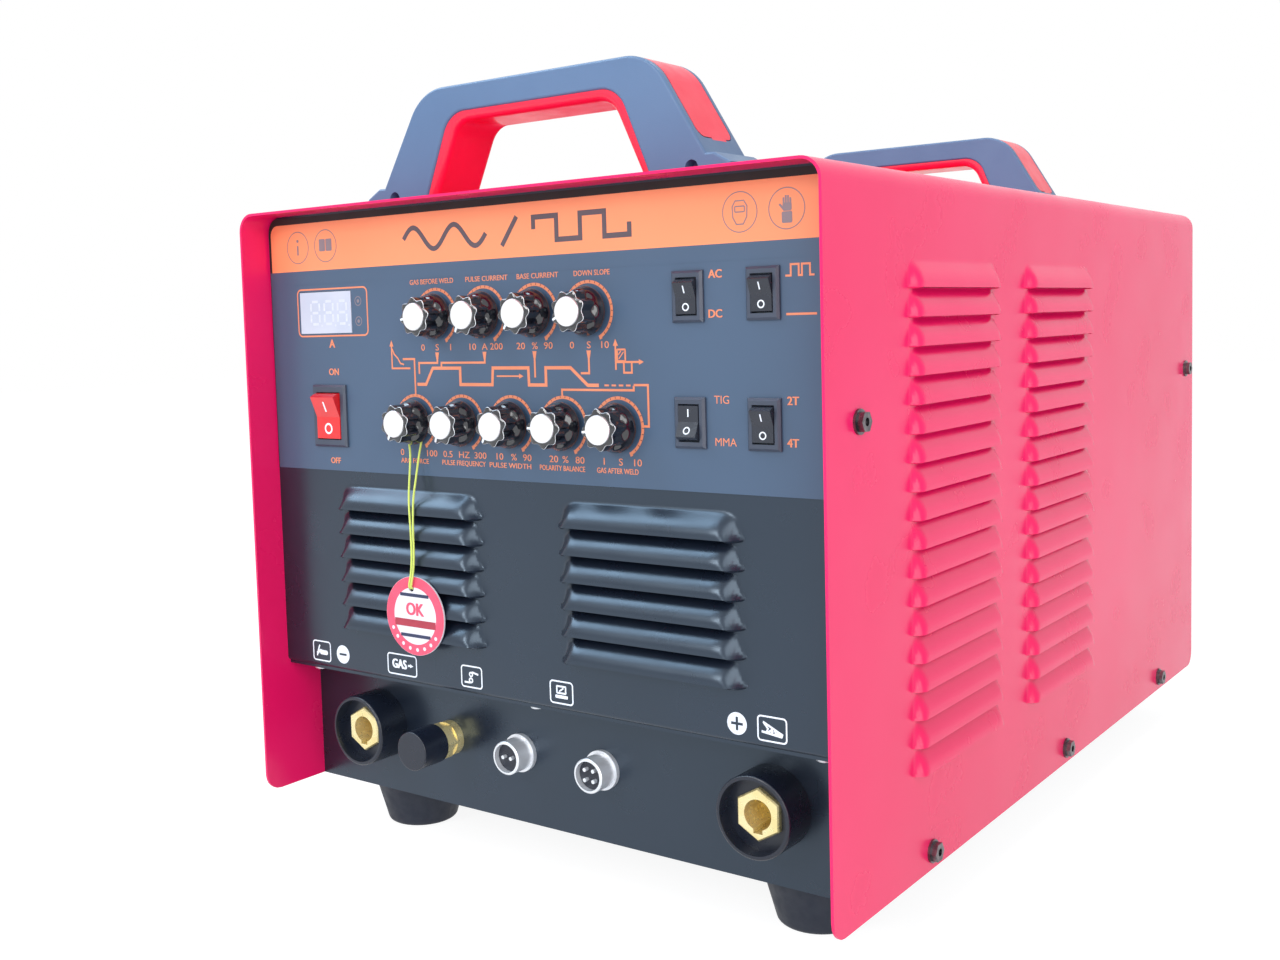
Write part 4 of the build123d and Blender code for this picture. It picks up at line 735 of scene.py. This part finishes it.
# Each knob's numbers and unit, with how far right of the knob's middle each stands
SCALES = (
    (("0", -9.0), ("S", 0.2), ("1", 8.8)),
    (("10", -7.8), ("A", -0.1), ("200", 7.0)),
    (("20", -8.5), ("%", -0.4), ("90", 7.3)),
    (("0", -9.4), ("S", -0.2), ("10", 8.1)),
    (("0", -9.9), ("100", 9.4)),
    (("0.5", -9.9), ("HZ", 0.3), ("300", 10.4)),
    (("10", -8.1), ("%", 0.8), ("90", 8.6)),
    (("20", -6.1), ("%", 0.5), ("80", 8.6)),
    (("1", -8.2), ("S", 0.7), ("10", 9.2)),
)
# The function of each knob, how far right of the knob's middle the words stand, and their width
NAMES = (
    ("GAS BEFORE WELD", -2.1, 28.0), ("PULSE CURRENT", 2.2, 25.4), ("BASE CURRENT", 2.2, 23.7),
    ("DOWN SLOPE", 2.3, 19.3), ("ARC FORCE", -1.7, 18.4), ("PULSE FREQUENCY", -0.2, 27.3),
    ("PULSE WIDTH", -1.6, 24.8), ("POLARITY BALANCE", -1.5, 25.5), ("GAS AFTER WELD", -1.2, 22.0),
)
SCALE_INNER = 11.9
SCALE_OUTER = 13.3
SCALE_FROM = -60
SCALE_TO = 204
SCALE_TICK = 12


def make_scales():
    """Printed arcs, numbers and words round each knob."""
    marks = Print(OVERLAY_FRONT - LAYER)
    ticks = Print(OVERLAY_FRONT - 2 * LAYER)
    for number, (x, z) in enumerate(KNOBS):
        marks.ring(x, z, SCALE_INNER, SCALE_OUTER, SCALE_FROM, SCALE_TO)
        for turn in range(SCALE_FROM + SCALE_TICK, SCALE_TO, SCALE_TICK):
            ticks.stroke([polar(x, z, SCALE_INNER + 0.4, turn), polar(x, z, SCALE_OUTER, turn)], 0.28)
        marks.stroke([polar(x, z, SCALE_INNER, SCALE_FROM), polar(x, z, 13.7, SCALE_FROM - 1)], 1.5)
        top_row = number < len(KNOB_TOP_X)
        drop = z - (14.6 if top_row else 14.9)
        for word, right in SCALES[number]:
            marks.text(word, x + right, drop, 3.1, 0.012, 1.22)
        word, right, width = NAMES[number]
        marks.text(word, x + right, z + 16.2 if top_row else z - 18.8, 2.4, 0.02, width=width)
    marks.make("scale_marks", "mark_orange")
    ticks.make("scale_ticks", "tick_dark")


def polar(x, z, radius, degrees):
    """A place at a radius and an angle, counted from the right, round a middle."""
    return x + radius * cos(radians(degrees)), z + radius * sin(radians(degrees))


def make_diagram():
    """The printed weld-current diagram between the two rows of knobs."""
    marks = Print(OVERLAY_FRONT - LAYER)
    base, peak = 212.0, 219.6
    course = [(-60.6, base), (-54.9, base), (-50.2, peak), (-32.8, peak), (-32.8, base), (-13.2, base)]
    course += [(-12.6, peak), (8.4, peak), (8.6, base), (18.4, base), (18.4, peak), (32.4, peak)]
    course += [(41.6, base), (47.6, base)]
    marks.stroke(course, 1.5)
    for start in (50.6, 54.4, 58.2, 62.0):
        marks.stroke([(start, base), (start + 2.4, base)], 0.8)
    thin = 1.0
    marks.stroke([(-47.0, 226.0), (-47.0, 222.1), (-59.0, 222.1), (-59.0, 216.9)], thin)
    marks.stroke([(-17.3, 226.0), (-17.3, 222.1), (-44.5, 222.1), (-44.5, 219.8)], thin)
    marks.stroke([(12.3, 226.0), (12.3, 215.3)], thin)
    marks.stroke([(42.6, 226.0), (42.6, 217.2), (38.0, 217.2)], thin)
    for x in (-47.0, -17.3, 12.3, 42.6):
        marks.step()
        marks.polygon([(x - 1.2, 227.0), (x + 1.2, 227.0), (x + 0.6, 223.8), (x - 0.6, 223.8)])
    marks.arrow((-10.4, 215.9), (5.5, 215.9), 0.7, 2.6)
    marks.stroke([(-69.7, 224.0), (-62.0, 224.0), (-62.0, 207.1)], thin)
    marks.stroke([(66.0, 212.2), (73.3, 212.2), (73.3, 194.9), (70.3, 194.9)], thin)
    marks.stroke([(66.0, 211.9), (66.0, 210.0), (27.3, 210.0), (27.3, 206.8)], thin)
    marks.arrow((-77.0, 219.3), (-77.0, 233.1), 0.9, 3.0)
    marks.stroke([(-77.3, 219.6), (-64.9, 219.6)], 0.9)
    marks.stroke([(-76.6, 229.0), (-75.4, 226.4), (-73.0, 224.4), (-71.4, 222.0), (-69.0, 221.4)], 0.8)
    marks.arrow((57.0, 218.6), (57.0, 231.8), 0.9, 3.0)
    marks.arrow((57.0, 221.9), (71.6, 221.9), 0.9, 2.6)
    marks.frame(57.8, 62.0, 222.3, 227.2, 0.2, 0.8)
    marks.stroke([(58.6, 223.2), (61.2, 226.2)], 0.5)
    marks.stroke([(58.4, 225.0), (59.8, 226.6)], 0.5)
    marks.stroke([(61.2, 222.0), (61.2, 217.4), (65.3, 217.4), (65.3, 222.0)], 0.9)
    marks.make("diagram_marks", "mark_orange")


def make_switch_marks():
    """The words beside the rocker switches, and the display's outline."""
    marks = Print(OVERLAY_FRONT - LAYER)
    marks.frame(-143.0, -92.7, 235.9, 259.3, 2.6, 0.8)
    marks.text("A", -118.8, 231.8, 4.2, 0.04)
    marks.text("ON", -118.3, 217.8, 3.4, 0.04)
    marks.text("OFF", -119.7, 173.4, 3.0, 0.04)
    marks.text("AC", 107.7, 256.8, 3.4, 0.04)
    marks.text("DC", 107.3, 240.9, 3.4, 0.04)
    pulse = [(139.7, 254.8)]
    for start in (142.1, 147.0):
        pulse += [(start, 254.8), (start, 259.1), (start + 3.5, 259.1), (start + 3.5, 254.8)]
    marks.stroke(pulse + [(152.4, 254.8)], 0.8)
    marks.stroke([(139.8, 240.0), (153.2, 240.0)], 0.9)
    marks.text("TIG", 109.5, 206.3, 3.4, 0.0)
    marks.text("MMA", 110.9, 189.2, 3.4, 0.0)
    marks.text("2T", 142.1, 206.2, 3.4, 0.04)
    marks.text("4T", 141.8, 189.7, 3.4, 0.04)
    marks.make("switch_marks", "mark_orange")


def make_display_face():
    """Three unlit digits behind the lens, and two small indicator windows beside it."""
    low, high = (Vector(corner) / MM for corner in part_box("display_window"))
    face = Print(low.y - 0.04)
    size, gap, bar = 6.2, 3.6, 1.3
    start = low.x + 8.0
    for digit in range(3):
        cx = start + digit * (size + gap) + size / 2
        cz = (low.z + high.z) / 2 - BASE
        for dz in (-5.6, 0.0, 5.6):
            face.stroke([(cx - size / 2 + 1, cz + dz), (cx + size / 2 - 1, cz + dz)], bar)
        for dx in (-size / 2, size / 2):
            for dz in (-2.8, 2.8):
                face.stroke([(cx + dx, cz + dz - 1.9), (cx + dx, cz + dz + 1.9)], bar)
        face.disc(cx + size / 2 + 1.5, cz - 6.4, 0.6)
    face.make("display_digits", "digit_ghost")
    lights = Print(OVERLAY_FRONT - LAYER)
    for z in (252.6, 242.8):
        lights.ring(-99.0, z, 1.9, 2.35)
        lights.disc(-99.0, z, 0.9)
    lights.make("indicator_marks", "mark_grey")


def make_connector_marks():
    """White picture marks above the connector bay."""
    marks = Print(PANEL_FRONT - LAYER)
    z = 74.3
    torch_x, gas_x, trigger_x, remote_x, clamp_x = -137.0, -79.0, -33.0, 21.2, 129.5
    for x, half_width in ((torch_x, 6.4), (gas_x, 9.8), (trigger_x, 6.4), (remote_x, 6.4), (clamp_x, 6.6)):
        marks.frame(x - half_width, x + half_width, z - 5.0, z + 5.0, 1.5, 0.7)
    torch_mark(marks, torch_x, z)
    marks.text("GAS", gas_x - 1.8, z, 4.6, 0.06, width=9.6)
    marks.arrow((gas_x + 4.0, z), (gas_x + 7.6, z), 1.0, 2.2)
    trigger_mark(marks, trigger_x, z)
    remote_mark(marks, remote_x, z)
    clamp_mark(marks, clamp_x, z)
    minus_x, plus_x = -121.2, 113.0
    for x in (minus_x, plus_x):
        marks.disc(x, z, 4.7)
    marks.make("bay_marks", "mark_white")
    signs = Print(PANEL_FRONT - 2 * LAYER)
    signs.stroke([(minus_x - 2.6, z), (minus_x + 2.6, z)], 1.1)
    signs.stroke([(plus_x - 2.8, z), (plus_x + 2.8, z)], 1.1)
    signs.stroke([(plus_x, z - 2.8), (plus_x, z + 2.8)], 1.1)
    signs.make("sign_marks", "panel_black")


def torch_mark(marks, x, z):
    """A welding torch."""
    marks.stroke([(x - 1.5, z + 3.0), (x - 2.8, z + 0.1), (x - 3.7, z - 2.8)], 0.9)
    marks.stroke([(x - 4.0, z - 1.0), (x - 2.6, z - 1.3), (x - 1.5, z + 0.4), (x + 0.2, z + 0.3)], 0.8)
    marks.rounded(x - 1.6, x + 4.4, z - 1.9, z + 0.5, 1.15)


def trigger_mark(marks, x, z):
    """A push switch with two poles."""
    marks.ring(x - 0.4, z + 1.1, 0.55, 1.3)
    marks.ring(x - 0.5, z - 1.7, 0.6, 1.4)
    marks.stroke([(x + 0.2, z + 2.3), (x + 4.2, z + 1.5)], 0.9)
    marks.stroke([(x - 4.6, z - 2.8), (x - 0.9, z - 2.8)], 0.9)


def remote_mark(marks, x, z):
    """A control box on its base."""
    marks.frame(x - 2.6, x + 2.4, z - 0.3, z + 2.8, 0.2, 0.8)
    marks.stroke([(x - 1.3, z + 0.4), (x + 1.2, z + 2.1)], 0.7)
    marks.rounded(x - 3.6, x + 3.6, z - 2.7, z - 1.2, 0.5)


def clamp_mark(marks, x, z):
    """A workpiece clamp."""
    marks.stroke([(x - 4.2, z + 2.6), (x + 4.9, z - 1.7)], 0.9)
    marks.stroke([(x - 4.9, z - 1.4), (x + 4.6, z - 2.5)], 0.95)
    marks.stroke([(x - 3.8, z + 2.2), (x - 1.9, z + 0.1), (x - 2.6, z - 1.5)], 0.8)
    marks.stroke([(x + 0.4, z + 0.4), (x - 1.9, z - 1.5)], 0.7)
    marks.stroke([(x + 1.0, z + 0.2), (x + 1.8, z - 1.9)], 0.8)
    marks.disc(x - 0.1, z - 0.8, 0.75)
    marks.stroke([(x + 2.0, z - 1.2), (x + 4.9, z - 2.0)], 1.4)


# Knobs

KNOB_STAND = 15.3
KNOB_GAP = 2.2
KNOB_LOBES = 8
KNOB_CAP_RADIUS = 6.3
# Where each pointer stands, in degrees round from the right
POINTERS = (188, 240, 231, 203, 241, 245, 236, 180, 187)


def knob_ring(out, radius, lobes=0.0):
    """One ring of a knob's surface, drawn in by a depth between its eight lobes."""
    points = []
    count = 128
    for i in range(count):
        turn = 2 * pi * i / count
        r = radius - lobes * (0.5 - 0.5 * cos(KNOB_LOBES * turn))
        points.append((r * cos(turn), -out, r * sin(turn)))
    return points


def knob_mesh():
    """Rings from the skirt's back edge to the cap, as points, faces and material indices."""
    top = KNOB_STAND
    cap_edge = KNOB_CAP_RADIUS
    black, bright, cap = 0, 1, 2
    rings = [
        (knob_ring(KNOB_GAP, 9.6), black),
        (knob_ring(KNOB_GAP, 10.6), black),
        (knob_ring(KNOB_GAP + 0.3, 10.8), black),
        (knob_ring(KNOB_GAP + 1.2, 10.8), black),
        (knob_ring(KNOB_GAP + 1.6, 10.65), black),
        (knob_ring(KNOB_GAP + 3.0, 10.1), black),
        (knob_ring(KNOB_GAP + 4.6, 9.4), black),
        (knob_ring(KNOB_GAP + 5.0, 9.2, 0.4), black),
        (knob_ring(KNOB_GAP + 5.6, 9.15, 1.2), black),
        (knob_ring(KNOB_GAP + 6.4, 9.1, 1.5), black),
        (knob_ring(top - 1.0, 9.05, 1.55), black),
        # These two thin rings on the rim's rounded edge are a painted highlight: a light material in place
        # of the light that the glossy black edge catches.
        (knob_ring(top - 0.9, 9.0, 1.55), bright),
        (knob_ring(top - 0.8, 8.88, 1.5), bright),
        (knob_ring(top - 0.74, 8.75, 1.45), black),
        (knob_ring(top - 0.45, cap_edge + 0.45), black),
        (knob_ring(top - 0.5, cap_edge + 0.1), black),
        (knob_ring(top + 0.05, cap_edge), cap),
        (knob_ring(top + 0.2, cap_edge - 0.15), cap),
        (knob_ring(top + 0.18, cap_edge - 0.9), cap),
        (knob_ring(top + 0.2, 0.01), cap),
    ]
    vertices = []
    faces = []
    slots = []
    for index, (points, slot) in enumerate(rings):
        start = len(vertices)
        vertices += points
        count = len(points)
        if index:
            for i in range(count):
                j = (i + 1) % count
                faces.append((start - count + i, start - count + j, start + j, start + i))
                slots.append(slot)
    return vertices, faces, slots


def make_knobs():
    shape, faces, slots = knob_mesh()
    for number, (x, z) in enumerate(KNOBS):
        place = Vector((x, OVERLAY_FRONT, BASE + z))
        spin = Matrix.Rotation(-radians(POINTERS[number]), 3, "Y")
        vertices = [place + spin @ Vector(v) for v in shape]
        body = f"knob_{number + 1}"
        # The second material, chrome, paints the highlight on the rim's edge.
        looks = ["knob_black", "chrome", "cap_aluminium"]
        knob = piece(f"{body}_look", vertices, faces, looks, body, 35.0, slots)
        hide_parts(body)
        out = KNOB_STAND + 0.1
        start, end = KNOB_CAP_RADIUS - 0.1, 8.5
        pointer = [(start, 0.1 - out, -0.55), (start, 0.1 - out, 0.55)]
        pointer += [(end, 0.5 - out, 0.4), (end, 0.5 - out, -0.4)]
        lower = [(px, py + 1.0, pz) for px, py, pz in pointer]
        points = [place + spin @ Vector(p) for p in pointer + lower]
        sides = [(0, 1, 2, 3), (4, 7, 6, 5), (0, 4, 5, 1), (1, 5, 6, 2), (2, 6, 7, 3), (3, 7, 4, 0)]
        piece(f"{body}_pointer", points, sides, ["mark_white"], body)


# Rocker marks

TILT = 11.0
ROCKERS = {
    "power_rocker": (POWER_ROCKER, 1, 11.6, 1.7),
    "ac_dc_rocker": ((94.6, 248.3), 1, 7.5, 1.0),
    "pulse_rocker": ((129.9, 248.5), 1, 7.5, 1.0),
    "process_rocker": ((94.5, 196.9), -1, 7.5, 1.0),
    "trigger_mode_rocker": ((129.5, 196.9), 1, 7.5, 1.0),
}
PIVOT_OUT = 0.2
ROCKER_STAND = 2.55


def make_rocker_marks():
    """A bar and a ring on each rocker, lying in its two sloping faces."""
    stand = ROCKER_STAND / cos(radians(TILT))
    for name, ((x, z), up, end, scale) in ROCKERS.items():
        marks = []
        faces = []

        def add(points, half):
            """Points as (across, along the face from the middle), on the upper or lower face."""
            start = len(marks)
            for across, along in points:
                out = stand + along * sin(radians(TILT)) + 0.05
                rise = half * along * cos(radians(TILT))
                tilt = radians(up * TILT)
                # Turned about the X axis with the rocker, whose out side is towards -Y
                y = -out * cos(tilt) - rise * sin(tilt)
                h = -out * sin(tilt) + rise * cos(tilt)
                marks.append((x + across, OVERLAY_FRONT + PIVOT_OUT + y, BASE + z + h))
            faces.append(tuple(range(start, len(marks))))

        middle = end * 0.5
        add([(-0.3 * scale, middle - 1.7 * scale), (0.3 * scale, middle - 1.7 * scale),
             (0.3 * scale, middle + 1.5 * scale), (-0.3 * scale, middle + 1.5 * scale)], 1)
        for i in range(20):
            a, b = 2 * pi * i / 20, 2 * pi * (i + 1) / 20
            corners = [(1.1, a), (1.65, a), (1.65, b), (1.1, b)]
            add([(r * scale * cos(t), middle + r * scale * sin(t)) for r, t in corners], -1)
        piece(f"{name}_marks", marks, faces, ["mark_white"], name)


# Tag

STRING_RADIUS = 0.5
LEFT_STRAND = (
    (-1.1, 6.9, -79.2), (-1.0, 8.3, -78.6), (0.0, 8.6, -75.5), (1.3, 8.5, -70.5), (1.5, 7.9, -62.0),
    (0.9, 7.5, -50.0), (-0.6, 6.6, -37.0), (-1.8, 4.0, -25.0), (-2.7, 1.6, -13.0),
)
RIGHT_STRAND = (
    (3.2, 1.6, -13.0), (2.7, 4.0, -25.0), (2.3, 6.6, -37.0), (2.5, 7.5, -50.0), (3.0, 7.9, -62.0),
    (2.7, 8.5, -70.5), (1.4, 8.6, -75.5), (0.3, 8.3, -78.6), (0.2, 6.9, -79.2),
)
NUT_FLATS = 10.0
NUT_GAP = 0.25


def make_string():
    """The string's route, up one strand, round the knob's nut and down the other."""
    x, z = KNOBS[4]
    corner = (NUT_FLATS / sqrt(3) + NUT_GAP + STRING_RADIUS) / cos(radians(20))
    points = [(x + dx, OVERLAY_FRONT - out, BASE + z + dz) for dx, out, dz in LEFT_STRAND]
    for step in range(6):
        turn = radians(190 - step * 40)
        points.append((x + corner * cos(turn), OVERLAY_FRONT - 1.15, BASE + z + corner * sin(turn)))
    points += [(x + dx, OVERLAY_FRONT - out, BASE + z + dz) for dx, out, dz in RIGHT_STRAND]
    curve = bpy.data.curves.new("string_curve", "CURVE")
    curve.dimensions = "3D"
    curve.bevel_depth = STRING_RADIUS * MM
    curve.bevel_resolution = 3
    curve.resolution_u = 8
    curve.use_fill_caps = True
    spline = curve.splines.new("NURBS")
    spline.points.add(len(points) - 1)
    for point, place in zip(spline.points, points):
        point.co = (*(Vector(place) * MM), 1.0)
    spline.order_u = 3
    spline.use_endpoint_u = True
    obj = bpy.data.objects.new("tag_string_look", curve)
    bpy.context.collection.objects.link(obj)
    obj.data.materials.append(MATERIALS["tag_yarn"])
    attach(obj, "tag")
    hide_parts("tag_string")
    tuple(Vector(points[0]) * MM)


def make_tag_print():
    """The tag's printed face: a pink ring, bars, dots and one word."""
    low, high = (Vector(corner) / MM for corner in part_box("inspection_tag"))
    x, z = (low.x + high.x) / 2, (low.z + high.z) / 2 - BASE
    ring = Print(low.y - 0.04)
    for start in range(0, 360, 5):
        ring.ring(x, z, 13.8, 18.9, start, start + 5)
    ring.make("tag_ring", "tag_pink", "tag")
    navy = Print(low.y - 0.08)
    for height, reach in ((10.0, 9.4), (-9.6, 9.8)):
        navy.stroke([(x - reach, z + height), (x + reach, z + height)], 1.6)
    navy.make("tag_bars", "tag_navy", "tag")
    wine = Print(low.y - 0.08)
    wine.stroke([(x - 13.4, z - 3.6), (x + 13.4, z - 3.6)], 3.6)
    wine.make("tag_strip", "tag_wine", "tag")
    words = Print(low.y - 0.08)
    words.text("OK", x, z + 2.9, 6.2, 0.05, width=11.5)
    words.make("tag_word", "tag_pink", "tag")
    dots = Print(low.y - 0.08)
    for start in range(205, 340, 17):
        turn = radians(start)
        dots.disc(x + 16.3 * cos(turn), z + 16.3 * sin(turn), 0.9)
    dots.make("tag_dots", "tag_paper", "tag")


# Scene


SENSOR_WIDTH = 36.0
LENS = 39.210188
# How far the view is moved from the lens axis, as shares of its width
VIEW_SHIFT = (0.022578, -0.041195)


def make_camera():
    data = bpy.data.cameras.new("camera")
    camera = bpy.data.objects.new("camera", data)
    bpy.context.collection.objects.link(camera)
    right = Vector((0.8006, 0.5985, -0.0287))
    down = Vector((0.02262, -0.07800, -0.99670))
    forward = Vector((-0.59877, 0.79731, -0.07599))
    turn = Matrix((right, -down, -forward)).transposed()
    camera.matrix_world = Matrix.Translation((0.4095, -0.7111, 0.2643)) @ turn.to_4x4()
    data.sensor_width = SENSOR_WIDTH
    data.lens = LENS
    data.shift_x, data.shift_y = VIEW_SHIFT
    data.clip_start = 0.01
    bpy.context.scene.camera = camera


def make_light(name, place, target, size, power, tint=(1.0, 1.0, 1.0)):
    data = bpy.data.lights.new(name, "AREA")
    data.color = tint
    data.shape = "RECTANGLE"
    data.size, data.size_y = size
    data.energy = power
    light = bpy.data.objects.new(name, data)
    bpy.context.collection.objects.link(light)
    light.location = place
    light.rotation_euler = (Vector(target) - Vector(place)).to_track_quat("-Z", "Y").to_euler()


def make_stage():
    """A white floor and backdrop that stay white to the camera and in reflections, and keep the shadow."""
    mesh = bpy.data.meshes.new("floor")
    reach = 6.0
    corners = [(-reach, -reach, 0), (reach, -reach, 0), (reach, reach, 0), (-reach, reach, 0)]
    mesh.from_pydata(corners, [], [(0, 1, 2, 3)])
    floor = bpy.data.objects.new("floor", mesh)
    bpy.context.collection.objects.link(floor)
    nodes = Nodes("floor_white")
    shader = nodes.shader
    shader.inputs["Base Color"].default_value = (0.85, 0.85, 0.85, 1)
    shader.inputs["Roughness"].default_value = 0.9
    shader.inputs["Specular IOR Level"].default_value = 0.1
    # Seen straight or in a reflection the floor is white, and a faint share of shading keeps the shadow
    shadow = nodes.add("ShaderNodeBsdfDiffuse")
    shadow.inputs["Color"].default_value = (0.22, 0.22, 0.22, 1)
    glow = nodes.add("ShaderNodeEmission")
    glow.inputs["Strength"].default_value = 0.9
    white = nodes.add("ShaderNodeAddShader")
    nodes.link(shadow.outputs[0], white.inputs[0])
    nodes.link(glow.outputs[0], white.inputs[1])
    mixed = nodes.add("ShaderNodeMixShader")
    nodes.link(seen_rays(nodes.tree), mixed.inputs["Fac"])
    nodes.link(shader.outputs["BSDF"], mixed.inputs[1])
    nodes.link(white.outputs[0], mixed.inputs[2])
    nodes.link(mixed.outputs["Shader"], nodes.tree.nodes["Material Output"].inputs["Surface"])
    floor.data.materials.append(nodes.material)
    world = bpy.data.worlds.new("studio")
    bpy.context.scene.world = world
    world.use_nodes = True
    tree = world.node_tree
    background = tree.nodes["Background"]
    background.inputs["Color"].default_value = (0.93, 0.96, 1.0, 1)
    background.inputs["Strength"].default_value = 0.5
    bright = tree.nodes.new("ShaderNodeBackground")
    bright.inputs["Color"].default_value = (1, 1, 1, 1)
    bright.inputs["Strength"].default_value = 1.0
    chosen = tree.nodes.new("ShaderNodeMixShader")
    tree.links.new(seen_rays(tree), chosen.inputs["Fac"])
    tree.links.new(background.outputs[0], chosen.inputs[1])
    tree.links.new(bright.outputs[0], chosen.inputs[2])
    tree.links.new(chosen.outputs[0], tree.nodes["World Output"].inputs["Surface"])


def seen_rays(tree):
    """1 for rays from the camera, from a reflection or through glass, and 0 for light on the object."""
    path = tree.nodes.new("ShaderNodeLightPath")
    total = path.outputs["Is Camera Ray"]
    for name in ("Is Glossy Ray", "Is Transmission Ray"):
        add = tree.nodes.new("ShaderNodeMath")
        add.operation = "ADD"
        add.use_clamp = True
        tree.links.new(total, add.inputs[0])
        tree.links.new(path.outputs[name], add.inputs[1])
        total = add.outputs[0]
    return total


make_camera()
make_string()
dress_cad()
make_cover()
make_front_panel()
make_band()
make_scales()
make_diagram()
make_switch_marks()
make_display_face()
make_connector_marks()
make_knobs()
make_rocker_marks()
make_tag_print()
make_stage()
make_light("right_softbox", (1.9, -1.7, 1.0), (0.1, 0.0, 0.2), (2.0, 2.0), 38)
make_light("front_softbox", (-0.6, -2.4, 1.3), (0.0, -0.2, 0.2), (0.8, 0.8), 20)
make_light("left_softbox", (-1.5, -0.8, 1.9), (0.0, -0.2, 0.2), (1.5, 1.5), 44, (0.62, 0.82, 1.0))
make_light("top_softbox", (0.2, 0.3, 2.2), (0.0, 0.0, 0.2), (0.8, 0.8), 14)
bpy.context.scene.view_settings.view_transform = "Standard"
